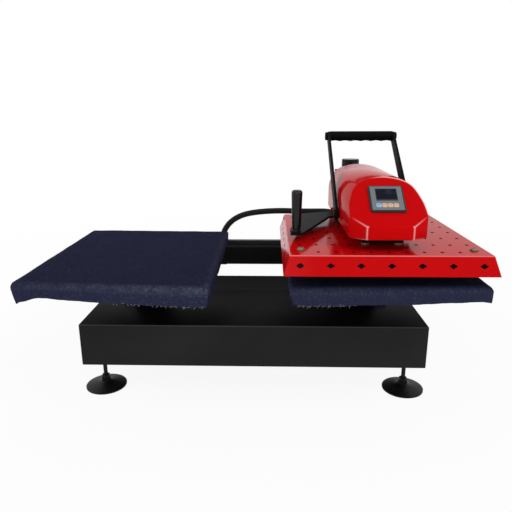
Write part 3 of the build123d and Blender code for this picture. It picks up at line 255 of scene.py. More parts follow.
def dark_coat(name, low, high, rough=0.46, shaded_top_and_lit_edge=None):
    """Satin black powder coat: fine orange peel and faint dust. Where a front edge is given, its top face
    gets painted shade and its front top edge a painted highlight line.
    """
    finish = Finish(name, high, rough, level=0.015)
    clouds = finish.noise(6.0, 3.0, 0.55)
    dust = ((finish.noise(420.0) - 0.66) * 9.0).clamped() * 0.25
    coat = finish.mixed(dust, finish.mixed(clouds, low, high), PALE_DUST)
    if shaded_top_and_lit_edge:
        front, top = shaded_top_and_lit_edge
        _, y, z = finish.axes(finish.place())
        # Painted shade: the top face painted near black, as if in the shadow of the pads
        coat = finish.mixed(((z - (top - TOP_FACE)) * 3000.0).clamped(), coat, SHADED_TOP_BLACK)
        # Painted highlight: a pale line along the front top edge, patchy with the clouds
        near_top = ((z - (top - EDGE_HIGHLIGHT_WIDTH)) * 1500.0).clamped()
        near_front = ((front + EDGE_HIGHLIGHT_WIDTH - y) * 1500.0).clamped()
        coat = finish.mixed(near_top * near_front * (0.35 + 0.4 * clouds), coat, EDGE_HIGHLIGHT_GREY)
    finish.paint(coat)
    finish.rough(rough - 0.05 + 0.12 * finish.noise(22.0, 4.0, 0.6))
    return finish.relief(finish.noise(900.0, 2.0, 0.6), 0.00016, 0.5)


def shroud_creases(finish):
    """Painted highlights on the shroud's pressed folds, kept off the horizontal break."""
    crease_highlight = finish.signal("ShaderNodeAttribute", {"attribute_name": "crease_highlight"}, output="Color")
    x, _, z = finish.axes(finish.place(centre=(SHROUD_X, 0.0, SHROUD_BREAK)))
    off_the_break = (x.size() > SHROUD_NOSE - 0.0035).most(z > 0.008)
    return finish.axes(crease_highlight)[0] * off_the_break * 1.25


def cover_axes(finish):
    """Across, along and up from the middle of the heat cover's top, and half the cover's two sides."""
    low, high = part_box("heat_cover")
    x, y, z = finish.axes(finish.place(centre=((low.x + high.x) / 2, (low.y + high.y) / 2, high.z)))
    return x.size(), y.size(), z, (high.x - low.x) / 2, (high.y - low.y) / 2


def cover_folds(finish):
    """Painted highlight on the bends round the top of the heat cover, patchy along them."""
    across, along, up, half_width, half_depth = cover_axes(finish)
    beside = (across - (half_width - COVER_FOLD)).most(along - (half_depth - COVER_FOLD))
    on_fold = (beside * 1800.0).clamped() * ((up + 0.0021) * 1800.0).clamped()
    return on_fold * (0.6 + 0.4 * finish.noise(25.0, 2.0, 0.5))


def cover_holes(finish):
    """Painted shade on the edges of the small perforations in the heat cover's top."""
    across, along, up, half_width, half_depth = cover_axes(finish)
    within = (across < half_width - COVER_MARGIN) * (along < half_depth - COVER_MARGIN)
    return within * (up < -0.0003) * (up > -0.0060)


def red_gloss(name, crease_highlights=None, level=0.035, hole_shade=None, pale=(0.790, 0.260, 0.270)):
    """Glossy red enamel on sheet metal, very slightly uneven; painted highlights on its folds and painted
    shade at the edges of its perforations, where these are given.
    """
    finish = Finish(name, (0.500, 0.0022, 0.0036), 0.10, level=level)
    clouds = finish.noise(5.0, 2.0, 0.5)
    enamel = finish.mixed(clouds, (0.470, 0.0018, 0.0026), (0.545, 0.0024, 0.0036))
    if crease_highlights:
        # Painted highlight: the folds painted pale pink
        enamel = finish.mixed(crease_highlights(finish) * 0.75, enamel, pale)
    if hole_shade:
        # Painted shade: the edges of the perforations painted near black
        enamel = finish.mixed(hole_shade(finish), enamel, (0.012, 0.003, 0.003))
    finish.paint(enamel)
    finish.rough(0.085 + 0.05 * finish.noise(30.0))
    return finish.relief(finish.noise(150.0, 2.0, 0.5), 0.00005, 0.3)


def steel(name, colour, rough, along=(1.0, 60.0, 60.0)):
    """Ground or plated steel with fine streaks."""
    finish = Finish(name, colour, rough, metallic=1.0)
    streaks = finish.noise(40.0, 4.0, 0.65, finish.place(along))
    dark = tuple(0.72 * part for part in colour)
    finish.paint(finish.mixed(streaks, dark, colour))
    finish.rough(rough - 0.07 + 0.16 * streaks)
    return finish.relief(streaks, 0.00004, 0.4)


def moulded(name, colour, rough, grain, depth, level):
    """Moulded plastic or rubber with a fine grain."""
    finish = Finish(name, colour, rough, level=level)
    dark, light = [tuple(share * part for part in colour) for share in (0.8, 1.25)]
    finish.paint(finish.mixed(finish.noise(60.0), dark, light))
    finish.rough(rough - 0.05 + 0.10 * finish.noise(180.0, 2.0, 0.5))
    return finish.relief(finish.noise(grain, 2.0, 0.5), depth, 0.5)


def navy_cloth():
    """Navy work cloth: a plain weave, mottled yarns and pale lint, with scuffing and a painted highlight
    along the folds and painted light on the front skirt.
    """
    finish = Finish("navy_cloth", (0.013, 0.016, 0.036), 0.95, level=0.04)
    across, along, _ = finish.axes(finish.place(uv=True))
    pitch = 2 * math.pi / WEAVE_PITCH
    weave = (across * pitch).wave() * (along * pitch).wave() * 0.5 + 0.5
    wear_and_light = finish.node("ShaderNodeAttribute", {"attribute_name": "wear_and_light"})
    fold, inner, hem = finish.axes(Signal(finish, wear_and_light.outputs["Color"]))
    front = Signal(finish, wear_and_light.outputs["Alpha"])
    mottle = finish.noise(230.0, 5.0, 0.8)
    clouds = finish.noise(8.0)
    top = finish.mixed(clouds, (0.0066, 0.0080, 0.0250), (0.0102, 0.0122, 0.0345))
    # Painted light: the front skirt painted lighter than the top, as if lit from the front
    side = finish.mixed(front * 0.9, top, (0.0205, 0.0230, 0.0520))
    yarns = finish.mixed(((mottle - 0.48) * 7.0).clamped() * 0.55, side, (0.026, 0.030, 0.056))
    pit_field = ((0.42 - finish.noise(310.0, 3.0, 0.7)) * 9.0).clamped()
    pits = finish.mixed(pit_field * 0.8, yarns, (0.0035, 0.0042, 0.0100))
    patch = finish.noise(55.0, 4.0, 0.75)
    # Scuffing and a painted highlight along the fold
    fold_wear_and_highlight = (fold * (patch * 2.8 - 0.75)).clamped() * (0.22 + 0.33 * inner)
    soft = finish.mixed(fold_wear_and_highlight, pits, (0.085, 0.090, 0.135))
    fluff = ((finish.noise(170.0, 6.0, 0.9) - 0.54) * 12.0).clamped()
    # The fluff spreads along the fold and, as painted light, over the front skirt
    spread = fold * (0.35 + 0.65 * inner) + front * 0.45 * (0.3 + 0.7 * inner)
    wear_and_highlight = finish.mixed((fluff * spread).clamped() * 0.8, soft, (0.125, 0.130, 0.180))
    drifts = ((finish.noise(17.0) - 0.50) * 6.0).clamped()
    lint = (finish.cells(170.0) < 0.10) * (drifts * 0.5 + fold * 0.5 + hem * inner * 0.4).clamped()
    finish.paint(finish.mixed(lint * 0.75, wear_and_highlight, (0.27, 0.28, 0.34)))
    return finish.relief(weave * 0.35 + mottle * 0.4 + patch * fold * 0.8, 0.0010, 0.8)


def pale_thread():
    """Frayed undyed threads."""
    finish = Finish("frayed_thread", (0.42, 0.43, 0.48), 0.9, level=0.1)
    return finish.paint(finish.mixed(finish.noise(300.0, 3.0, 0.7), (0.06, 0.065, 0.10), (0.46, 0.47, 0.50)))


def braided_sleeve():
    """Black braided sleeve: two sets of flat strands crossing on the bias, with painted shade in the gaps
    between them.
    """
    finish = Finish("braided_sleeve", (0.010, 0.010, 0.011), 0.62, level=0.12)
    around, along, _ = finish.axes(finish.place(uv=True))
    left = ((around * BRAID_STRANDS + along * BRAID_STRANDS) * (2 * math.pi)).wave()
    right = ((around * BRAID_STRANDS - along * BRAID_STRANDS) * (2 * math.pi)).wave()
    strands = left.most(right)
    # Painted light and shade: the raised strands painted lighter, the gaps between them darker
    lit_strand_tops = (strands * 0.5 + 0.5).clamped()
    finish.paint(finish.mixed(lit_strand_tops, (0.0025, 0.0025, 0.0028), (0.0150, 0.0150, 0.0160)))
    finish.rough(0.72 - 0.2 * strands.clamped())
    return finish.relief(strands, 0.0006, 0.8)


def panel_axes(finish, middle_x=PANEL_CENTRE[0], middle_y=PANEL_CENTRE[1], middle_z=PANEL_CENTRE[2]):
    """Across and up the slope of the controller's face from a point, in millimetres."""
    x, y, z = finish.axes(finish.place())
    up = y * math.sin(PANEL_LEAN) + z * math.cos(PANEL_LEAN)
    middle_up = middle_y * math.sin(PANEL_LEAN) + middle_z * math.cos(PANEL_LEAN)
    return (x - middle_x) * 1000.0, (up - middle_up) * 1000.0


# Millimetres on the controller's face, from its middle
BORDER_HALF = 32.0
WELL_HALF_WIDTH, WELL_HALF_HEIGHT, WELL_UP, WELL_EDGE = 21.0, 15.5, 9.5, 1.4
KEY_PLACES = (-18.55, -6.85, 4.85, 16.55)
KEY_ROW_DOWN = 19.9
KEY_HALF_WIDTH, KEY_HALF_HEIGHT = 5.5, 5.3


def panel_face():
    """The controller's grey face: a dark border, a dark well round the display and printed key fields."""
    finish = Finish("controller_grey", (0.125, 0.138, 0.150), 0.45, level=0.15)
    across, height = panel_axes(finish)
    border = (across.size().most(height.size()) - BORDER_HALF).clamped()
    face = finish.mixed(finish.noise(90.0), (0.130, 0.145, 0.160), (0.175, 0.192, 0.210))
    beyond = (across.size() - WELL_HALF_WIDTH).most((height - WELL_UP).size() - WELL_HALF_HEIGHT)
    shown = finish.mixed((beyond < WELL_EDGE) * 0.9, face, (0.012, 0.013, 0.018))
    up = (height + KEY_ROW_DOWN) / KEY_HALF_HEIGHT
    for index, place in enumerate(KEY_PLACES):
        side = (across - place) / KEY_HALF_WIDTH
        field = (1.0 - (side * side * side * side + up * up * up * up)) * 3.0
        shown = finish.mixed(field.clamped(), shown, PEACH if index else SKY)
    finish.paint(finish.mixed(border, shown, (0.020, 0.022, 0.023)))
    return finish.relief(finish.noise(1500.0, 2.0, 0.5), 0.00005, 0.4)


def display_glass():
    """A dark window with the faint cells of an unlit display behind it."""
    finish = Finish("display_glass", (0.0035, 0.0045, 0.0110), 0.12, level=0.08)
    across, height = panel_axes(finish)
    grid = ((across * 2.4).wave() * (height * 1.9).wave() > 0.5) * 0.35
    # Patches that grow paler towards the top of the window
    paler_top_patches = ((finish.noise(60.0) - 0.45) * 4.0).clamped() * ((height - 9.0) * 0.2).clamped()
    glass = finish.mixed(grid, (0.0025, 0.0035, 0.0100), (0.0075, 0.0100, 0.0220))
    return finish.paint(finish.mixed(paler_top_patches * 0.5, glass, (0.030, 0.036, 0.060)))


def enamel_key(name, colour, pale, node):
    """A moulded key, deeper in its middle and pale at its rim."""
    low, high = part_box(node)
    finish = Finish(name, colour, 0.32, level=0.25)
    across, height = panel_axes(finish, *((low + high) / 2))
    away = (across * across * 0.5 + height * height * 1.8) ** 0.5
    finish.paint(finish.mixed(((away - 1.2) * 0.6).clamped(), colour, pale))
    return finish.relief(finish.noise(1500.0, 2.0, 0.5), 0.00004, 0.3)


def felt(name, low, high):
    """Fibre mat or foam: soft, matt and pitted."""
    finish = Finish(name, high, 0.95, level=0.1)
    fibres = finish.noise(320.0, 6.0, 0.8)
    finish.paint(finish.mixed(fibres, low, high))
    return finish.relief(fibres, 0.0008, 0.8)


finishes = {
    "black_paint": dark_coat("black_powder_coat", *POWDER_BLACK),
    "red_paint": red_gloss("red_gloss_enamel"),
    "bright_steel": steel("ground_steel", (0.60, 0.60, 0.61), 0.26),
    "zinc": steel("zinc_plate", (0.52, 0.52, 0.50), 0.34, (30.0, 30.0, 30.0)),
    "aluminium": steel("milled_aluminium", (0.74, 0.74, 0.75), 0.34, (60.0, 1.0, 60.0)),
    "bronze": steel("sintered_bronze", (0.55, 0.38, 0.18), 0.42, (40.0, 40.0, 40.0)),
    "element_sheath": steel("element_sheath", (0.30, 0.27, 0.25), 0.50, (1.0, 50.0, 50.0)),
    "navy_cloth": navy_cloth(),
    "silicone_foam": felt("silicone_foam", (0.50, 0.42, 0.30), (0.66, 0.56, 0.42)),
    "mat_fibre": felt("mat_fibre", (0.60, 0.58, 0.52), (0.80, 0.78, 0.72)),
    "sleeve_braid": braided_sleeve(),
    "black_plastic": moulded("black_plastic", (0.0042, 0.0042, 0.0046), 0.20, 900.0, 0.00003, 0.18),
    "black_rubber": moulded("black_rubber", (0.0055, 0.0055, 0.0057), 0.60, 900.0, 0.00012, 0.05),
    "foot_rubber": moulded("foot_rubber", (0.0040, 0.0040, 0.0042), 0.42, 700.0, 0.00010, 0.16),
    "panel_grey": panel_face(),
    "display": display_glass(),
    "key_blue": enamel_key("key_blue", BLUE, SKY, "key_power"),
    "key_orange": enamel_key("key_orange_set", ORANGE, PEACH, "key_set"),
}
own_finishes = {
    "heat_cover": red_gloss("cover_enamel", cover_folds, hole_shade=cover_holes),
    # Painted shade: the heat block and the mat inside the cover made near black, so that the openings in the
    # cover look dark
    "heat_block": steel("heat_block_painted_shade", (0.030, 0.030, 0.033), 0.50, (60.0, 1.0, 60.0)),
    "insulation_mat": felt("felt_painted_shade", (0.0030, 0.0028, 0.0028), (0.0080, 0.0076, 0.0076)),
    "guide_rails": steel("rail_steel", (0.045, 0.045, 0.047), 0.36),
    "spring_collars": steel("dulled_collars", (0.24, 0.24, 0.25), 0.42),
    "hanger_bolts": steel("dulled_bolts", (0.24, 0.24, 0.24), 0.42, (30.0, 30.0, 30.0)),
    "handle_grip": moulded("grip_rubber", (0.0036, 0.0036, 0.0038), 0.60, 900.0, 0.00012, 0.03),
    "handle_shaft": dark_coat("shaft_black", *POWDER_BLACK),
    "key_down": enamel_key("key_orange_down", ORANGE, PEACH, "key_down"),
    "key_up": enamel_key("key_orange_up", ORANGE, PEACH, "key_up"),
}


def refinish(piece, finish):
    """Gives a piece one finish, in place of any that it has."""
    piece.data.materials.clear()
    piece.data.materials.append(finish.material)


for part in frame["record"]["subparts"]:
    node = part["node"]
    refinish(nodes[node], own_finishes.get(node) or finishes[part["material_slot"]])


def dress(piece, body, slot, replaced=(), own=None):
    """Gives a new piece its finish, its body and the nodes that it stands for."""
    refinish(piece, own or finishes[slot])
    if replaced:
        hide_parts(*replaced)
    if body:
        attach(piece, body)
    return piece


# Modelling helpers

def enter(mode):
    bpy.ops.object.mode_set(mode=mode)


def only(piece):
    """Makes one object the selected and active one."""
    if bpy.context.object and bpy.context.object.mode != "OBJECT":
        enter("OBJECT")
    bpy.ops.object.select_all(action="DESELECT")
    piece.select_set(True)
    bpy.context.view_layer.objects.active = piece


def settled(piece):
    """Puts the place, turn and size of an object into its mesh."""
    only(piece)
    bpy.ops.object.transform_apply(location=True, rotation=True, scale=True)
    return piece


def pick_faces(piece, test):
    """Opens edit mode with only the faces selected that pass the test."""
    only(piece)
    bpy.context.tool_settings.mesh_select_mode = (False, False, True)
    for group in (piece.data.vertices, piece.data.edges, piece.data.polygons):
        for item in group:
            item.select = False
    for face in piece.data.polygons:
        face.select = test(face)
    enter("EDIT")


def pick_sharp_edges(piece, degrees, test):
    """Opens edit mode with only the edges selected that are sharper than this and pass the test."""
    only(piece)
    enter("EDIT")
    bpy.context.tool_settings.mesh_select_mode = (False, True, False)
    bpy.ops.mesh.select_all(action="DESELECT")
    bpy.ops.mesh.edges_select_sharp(sharpness=math.radians(degrees))
    enter("OBJECT")
    points = piece.data.vertices
    for edge in piece.data.edges:
        if edge.select and not test(points[edge.vertices[0]].co, points[edge.vertices[1]].co):
            edge.select = False
    for vertex in points:
        vertex.select = False
    for edge in piece.data.edges:
        if edge.select:
            points[edge.vertices[0]].select = True
            points[edge.vertices[1]].select = True
    enter("EDIT")


def face_outwards():
    """Turns all faces of the mesh in edit mode outwards."""
    bpy.ops.mesh.select_all(action="SELECT")
    bpy.ops.mesh.normals_make_consistent(inside=False)


def leave_edit(piece, smooth):
    """Back to object mode, with the shading smooth where faces meet at less than this angle."""
    enter("OBJECT")
    only(piece)
    bpy.ops.object.shade_smooth_by_angle(angle=math.radians(smooth))
    return piece


def applied(piece, kind, **settings):
    """Gives a piece a modifier and applies it."""
    only(piece)
    modifier = piece.modifiers.new(kind.lower(), kind)
    for key, value in settings.items():
        setattr(modifier, key, value)
    bpy.ops.object.modifier_apply(modifier=modifier.name)
    return piece


def walled(piece, wall):
    """Gives a sheet form its thickness, inwards."""
    return applied(piece, "SOLIDIFY", thickness=wall, offset=-1.0)


def cut_with(piece, cutter):
    """Takes the cutter's form out of a piece."""
    applied(piece, "BOOLEAN", operation="DIFFERENCE", solver="EXACT", object=cutter)
    bpy.data.objects.remove(cutter)
    return piece


def added(name, primitive, **facts):
    """A new primitive from its operator, with nothing else selected."""
    bpy.ops.object.select_all(action="DESELECT")
    primitive(**facts)
    bpy.context.object.name = name
    return bpy.context.object


def cuboid(name, low, high):
    middle = [(a + b) / 2 for a, b in zip(low, high)]
    piece = added(name, bpy.ops.mesh.primitive_cube_add, size=1.0, location=middle)
    piece.scale = [b - a for a, b in zip(low, high)]
    return settled(piece)


def turned_form(name, x, y, rings, sides=48):
    """A turned piece, drawn up ring by ring: each ring is its height and its radius."""
    height, radius = rings[0]
    piece = added(name, bpy.ops.mesh.primitive_circle_add, vertices=sides, radius=radius, fill_type="NGON",
                  location=(x, y, height))
    settled(piece)
    enter("EDIT")
    bpy.ops.mesh.select_all(action="SELECT")
    for next_height, next_radius in rings[1:]:
        bpy.ops.mesh.extrude_region_move(TRANSFORM_OT_translate={"value": (0, 0, next_height - height)})
        share = next_radius / radius
        bpy.ops.transform.resize(value=(share, share, 1.0), center_override=(x, y, next_height))
        height, radius = next_height, next_radius
    face_outwards()
    return leave_edit(piece, 32.0)


def joined(name, pieces):
    bpy.ops.object.select_all(action="DESELECT")
    for piece in pieces:
        piece.select_set(True)
    bpy.context.view_layer.objects.active = pieces[0]
    bpy.ops.object.join()
    bpy.context.object.name = name
    return bpy.context.object


# Wiring hose: the route of the source, in metres, as one smooth curve

hose_route = [
    (-0.131, 0.382, 0.204), (-0.131, 0.382, 0.252), (-0.106, 0.382, 0.299), (-0.060, 0.382, 0.328),
    (0.000, 0.382, 0.339), (0.075, 0.382, 0.343), (0.145, 0.382, 0.340), (0.282, 0.382, 0.341),
    (0.282, 0.237, 0.341),
]
HOSE_RADIUS = 0.010
HOSE_STEP = 0.004


def smooth_line(route):
    """Points read from the NURBS curve of a route."""
    line = bpy.data.curves.new("hose_line", "CURVE")
    line.dimensions = "3D"
    line.resolution_u = 24
    spline = line.splines.new("NURBS")
    spline.points.add(len(route) - 1)
    for point, place in zip(spline.points, route):
        point.co = (*place, 1.0)
    spline.order_u = 3
    spline.use_endpoint_u = True
    holder = placed("hose_line", line)
    bpy.context.view_layer.update()
    mesh = bpy.data.meshes.new_from_object(holder)
    points = [vertex.co.copy() for vertex in mesh.vertices]
    bpy.data.objects.remove(holder)
    bpy.data.meshes.remove(mesh)
    return points


def even_points(points, gap):
    """The same line with its points at an even distance."""
    kept, carried = [points[0]], 0.0
    for before, after in zip(points, points[1:]):
        run = (after - before).length
        while run > 0 and carried + run >= gap:
            share = (gap - carried) / run
            before = before.lerp(after, share)
            kept.append(before.copy())
            run = (after - before).length
            carried = 0.0
        carried += run
    if (kept[-1] - points[-1]).length > gap * 0.3:
        kept.append(points[-1])
    else:
        kept[-1] = points[-1]
    return kept


def tube_along(name, points, radius, sides=28):
    """A tube with a map that runs round it and along it, so that the braid follows every bend."""
    rings, lengths = [], []
    side = Vector((0.0, 1.0, 0.0))
    travelled = 0.0
    for index, point in enumerate(points):
        before = points[max(index - 1, 0)]
        after = points[min(index + 1, len(points) - 1)]
        ahead = (after - before).normalized()
        side = (side - ahead * side.dot(ahead)).normalized()
        other = ahead.cross(side)
        if index:
            travelled += (point - before).length
        lengths.append(travelled / (2 * math.pi * radius))
        for step in range(sides):
            angle = 2 * math.pi * step / sides
            rings.append(point + (side * math.cos(angle) + other * math.sin(angle)) * radius)
    faces, maps = [], []
    for index in range(len(points) - 1):
        for step in range(sides):
            following = (step + 1) % sides
            low, high = index * sides, (index + 1) * sides
            faces.append((low + step, low + following, high + following, high + step))
            left, right = step / sides, (step + 1) / sides
            maps += [(left, lengths[index]), (right, lengths[index]),
                     (right, lengths[index + 1]), (left, lengths[index + 1])]
    last = (len(points) - 1) * sides
    faces.append(tuple(range(sides))[::-1])
    faces.append(tuple(last + step for step in range(sides)))
    maps += [(0.0, 0.0)] * (2 * sides)
    mesh = bpy.data.meshes.new(name)
    mesh.from_pydata(rings, [], faces)
    layer = mesh.uv_layers.new(name="UVMap")
    for corner, pair in enumerate(maps):
        layer.data[corner].uv = pair
    piece = placed(name, mesh)
    only(piece)
    bpy.ops.object.shade_smooth_by_angle(angle=math.radians(40))
    return piece


hose_points = even_points(smooth_line(hose_route), HOSE_STEP)
hose = tube_along("hose_sleeve", hose_points, HOSE_RADIUS)
dress(hose, None, "sleeve_braid", ["wiring_hose"])
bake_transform(hose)


# Head shroud: the same form as its solid, with the soft creases of folded and pressed sheet

DOME_STEPS = 6
CREASE_WIDTH = 0.0030
LARGEST_CREASE_FACE = 0.00025
# How the painted highlight on the shroud's folds fades in above the nose, and how strong it is on the nose's
# folds
CREASE_HIGHLIGHT_FADE = 0.012
PLAIN_CREASE_HIGHLIGHT, OUTERMOST_CREASE_HIGHLIGHT = 0.75, 0.25
OVERRUN = 0.001


def dome_line():
    """The dome's right half, from the shoulder up to its crown."""
    marks = [Vector((SHROUD_HALF, SHROUD_SHOULDER - 0.006)),
             Vector((SHROUD_HALF * 0.93, SHROUD_SHOULDER + 0.022)),
             Vector((SHROUD_HALF * 0.66, SHROUD_HIGH - 0.011)),
             Vector((0.0, SHROUD_HIGH))]
    pulls = [Vector((0.0, 0.032)), (marks[2] - marks[0]) / 2,
             (marks[3] - marks[1]) / 2, Vector((-0.055, 0.0))]
    line = []
    for index in range(3):
        for step in range(DOME_STEPS):
            t = step / DOME_STEPS
            line.append(marks[index] * (2 * t ** 3 - 3 * t ** 2 + 1)
                        + pulls[index] * (t ** 3 - 2 * t ** 2 + t)
                        + marks[index + 1] * (3 * t ** 2 - 2 * t ** 3)
                        + pulls[index + 1] * (t ** 3 - t ** 2))
    return line


def mark_creases(skin):
    """Keeps how strong the painted highlight is at each point, by how far it lies within a bevelled fold: its
    faces are the selected small ones.
    """
    mesh = skin.data
    inside = [1.0] * len(mesh.vertices)
    touched = [0.0] * len(mesh.vertices)
    for face in mesh.polygons:
        for index in face.vertices:
            if face.select and face.area < LARGEST_CREASE_FACE:
                touched[index] = 1.0
            else:
                inside[index] = 0.0
    outermost = set()
    for edge in mesh.edges:
        if min(inside[index] for index in edge.vertices) == 0.0:
            outermost.update(edge.vertices)
    crease_highlight = mesh.color_attributes.new(name="crease_highlight", type="FLOAT_COLOR", domain="POINT")
    for index, vertex in enumerate(mesh.vertices):
        # The painted highlight: on the dome only towards the right, on the slanted folds of the nose, weaker
        # at their outermost points, and nowhere else
        amount = inside[index] * touched[index]
        across = vertex.co.x - SHROUD_X
        above_nose = vertex.co.z - SHROUD_NOSE_TOP
        if above_nose >= 0.0:
            to_the_right = min(max(across / SHROUD_HALF * 3.0 + 0.9, 0.0), 1.0)
            amount *= to_the_right * min(above_nose / CREASE_HIGHLIGHT_FADE, 1.0)
        elif SHROUD_NOSE - 0.004 < abs(across) < SHROUD_HALF - 0.005:
            amount *= OUTERMOST_CREASE_HIGHLIGHT if index in outermost else PLAIN_CREASE_HIGHLIGHT
        else:
            amount = 0.0
        crease_highlight.data[index].color = (amount, amount, amount, 1.0)


def shroud_skin():
    half_line = dome_line()
    profile = [Vector((-SHROUD_HALF, SHROUD_LOW)), Vector((SHROUD_HALF, SHROUD_LOW))]
    profile += half_line + [Vector((0.0, SHROUD_HIGH))]
    profile += [Vector((-point.x, point.y)) for point in reversed(half_line)]
    skin = added("shroud_skin", bpy.ops.mesh.primitive_circle_add, vertices=len(profile), radius=0.1,
                 fill_type="NGON", location=(0, 0, 0))
    for vertex, point in zip(skin.data.vertices, profile):
        vertex.co = (SHROUD_X + point.x, SHROUD_FRONT - OVERRUN, point.y)
    only(skin)
    enter("EDIT")
    bpy.ops.mesh.select_all(action="SELECT")
    depth = SHROUD_BACK - SHROUD_FRONT + OVERRUN
    bpy.ops.mesh.extrude_region_move(TRANSFORM_OT_translate={"value": (0, depth, 0)})
    slope = (0.0, -math.cos(PANEL_LEAN), math.sin(PANEL_LEAN))
    planes = [((SHROUD_X, SHROUD_FRONT, SHROUD_BREAK), slope),
              ((SHROUD_X, SHROUD_FRONT, SHROUD_LOW), (0.0, -1.0, 0.0))]
    for side in (-1, 1):
        slant = Vector((side * SHROUD_NOSE_SIDE, SHROUD_NOSE - SHROUD_HALF, 0.0)).normalized()
        planes.append(((SHROUD_X + side * SHROUD_NOSE, SHROUD_FRONT, 0.0), tuple(slant)))
    for point, normal in planes:
        bpy.ops.mesh.select_all(action="SELECT")
        bpy.ops.mesh.bisect(plane_co=point, plane_no=normal, use_fill=True, clear_outer=True,
                            threshold=0.00002)
    bpy.ops.mesh.select_all(action="SELECT")
    bpy.ops.mesh.remove_doubles(threshold=0.00005)
    face_outwards()
    enter("OBJECT")

    def creased(a, b):
        at_bottom = max(a.z, b.z) < SHROUD_LOW + 0.0005
        at_back = min(a.y, b.y) > SHROUD_BACK - 0.0005
        return not at_bottom and not at_back

    pick_sharp_edges(skin, 14.0, creased)
    bpy.ops.mesh.bevel(offset=CREASE_WIDTH, segments=4, profile=0.5, clamp_overlap=False)
    enter("OBJECT")
    mark_creases(skin)
    pick_faces(skin, lambda face: face.normal.z < -0.9 and face.center.z < SHROUD_LOW + 0.001)
    bpy.ops.mesh.delete(type="FACE")
    leave_edit(skin, 30.0)
    walled(skin, SHROUD_WALL)
    opening = cuboid("opening", (SHROUD_X - CHEEK_OPENING_HALF, SHROUD_BACK - 0.0075, SHROUD_LOW - 0.002),
                     (SHROUD_X + CHEEK_OPENING_HALF, SHROUD_BACK + 0.002, CHEEK_OPENING_TOP))
    return cut_with(skin, opening)


# The shroud's enamel, with painted highlights along its folds
shroud_enamel = red_gloss("shroud_enamel", shroud_creases, 0.012, pale=(0.880, 0.450, 0.450))
dress(shroud_skin(), "arm", "red_paint", ["head_shroud"], shroud_enamel)


# Front housing: folded sheet with small bends along its top and its corners

HOUSING_BEND, HOUSING_WALL = 0.0016, 0.0018


def housing_skin():
    low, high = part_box("front_housing")
    skin = cuboid("housing_skin", low, high)
    pick_sharp_edges(skin, 30.0, lambda a, b: max(a.z, b.z) > low.z + 0.001)
    bpy.ops.mesh.bevel(offset=HOUSING_BEND, segments=3, profile=0.5)
    enter("OBJECT")
    pick_faces(skin, lambda face: face.normal.z < -0.9 and face.center.z < low.z + 0.001)
    bpy.ops.mesh.delete(type="FACE")
    leave_edit(skin, 30.0)
    return walled(skin, HOUSING_WALL)


housing_low, housing_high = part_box("front_housing")
# The housing's coat: painted light on its front, painted shade on its top face and a painted highlight along
# its front top edge
housing_coat = dark_coat("housing_coat", *LIT_HOUSING_BLACK, 0.42, (housing_low.y, housing_high.z))
dress(housing_skin(), "base", "black_paint", ["front_housing"], housing_coat)


# Side grip: a tapered moulding with a rounded end, on a hexagonal foot

GRIP_FOOT = 0.005
GRIP_NECK, GRIP_FLARE, GRIP_ROUND = 0.0096, 0.0023, 0.006
NUT_RADIUS, NUT_CHAMFER = 0.0108, 0.0006


def side_grip_moulding():
    low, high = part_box("side_grip")
    x, y = (low.x + high.x) / 2, (low.y + high.y) / 2
    foot, top = low.z + GRIP_FOOT, high.z
    rings = [(foot, 0.0082), (foot + 0.0012, 0.0094), (foot + GRIP_ROUND, GRIP_NECK)]
    for step in range(1, 12):
        share = step / 12
        height = foot + GRIP_ROUND + (top - foot - 2 * GRIP_ROUND) * share
        rings.append((height, GRIP_NECK + GRIP_FLARE * share ** 0.8))
    for step in range(7):
        angle = math.pi / 2 * step / 6
        inset = GRIP_NECK + GRIP_FLARE - GRIP_ROUND
        rings.append((top - GRIP_ROUND + GRIP_ROUND * math.sin(angle), inset + GRIP_ROUND * math.cos(angle)))
    body = turned_form("side_grip_body", x, y, rings)
    nut_rings = [(low.z, 0.0100), (low.z + NUT_CHAMFER, NUT_RADIUS),
                 (foot - NUT_CHAMFER, NUT_RADIUS), (foot, 0.0100)]
    return joined("side_grip_moulding", [body, turned_form("side_grip_nut", x, y, nut_rings, 6)])


grip_gloss = moulded("grip_gloss", (0.0022, 0.0022, 0.0024), 0.16, 900.0, 0.00002, 0.28)
dress(side_grip_moulding(), "arm", "black_rubber", ["side_grip"], grip_gloss)


# Return springs: two coils

SPRING_WIRE_RADIUS = 0.0011
SPRING_TURNS = 7.5
SPRING_STEPS = 210


def return_spring_pair():
    low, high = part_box("return_springs")
    coil = (high.x - low.x) / 2 - SPRING_WIRE_RADIUS
    springs = []
    for y in (low.y + coil + SPRING_WIRE_RADIUS, high.y - coil - SPRING_WIRE_RADIUS):
        spring = added("return_spring", bpy.ops.mesh.primitive_circle_add, vertices=12,
                       radius=SPRING_WIRE_RADIUS, location=(coil, 0, 0), rotation=(math.pi / 2, 0, 0))
        settled(spring)
        applied(spring, "SCREW", angle=2 * math.pi * SPRING_TURNS, steps=SPRING_STEPS,
                render_steps=SPRING_STEPS, screw_offset=high.z - low.z - 2 * SPRING_WIRE_RADIUS)
        enter("EDIT")
        bpy.ops.mesh.select_all(action="SELECT")
        bpy.ops.mesh.fill_holes(sides=0)
        face_outwards()
        leave_edit(spring, 45.0)
        spring.location = ((low.x + high.x) / 2, y, low.z + SPRING_WIRE_RADIUS)
        springs.append(settled(spring))
    return joined("return_spring_pair", springs)


coils = dress(return_spring_pair(), "arm", "bright_steel", ["return_springs"])
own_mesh(coils)


# Cover screws: pan heads with a cross recess, each on a washer and a spacer

SCREW_SEAT = 0.394
SCREW_INSET = 0.009
SPACER_LOW, SPACER_RADIUS, SHANK_RADIUS = 0.3725, 0.008, 0.004
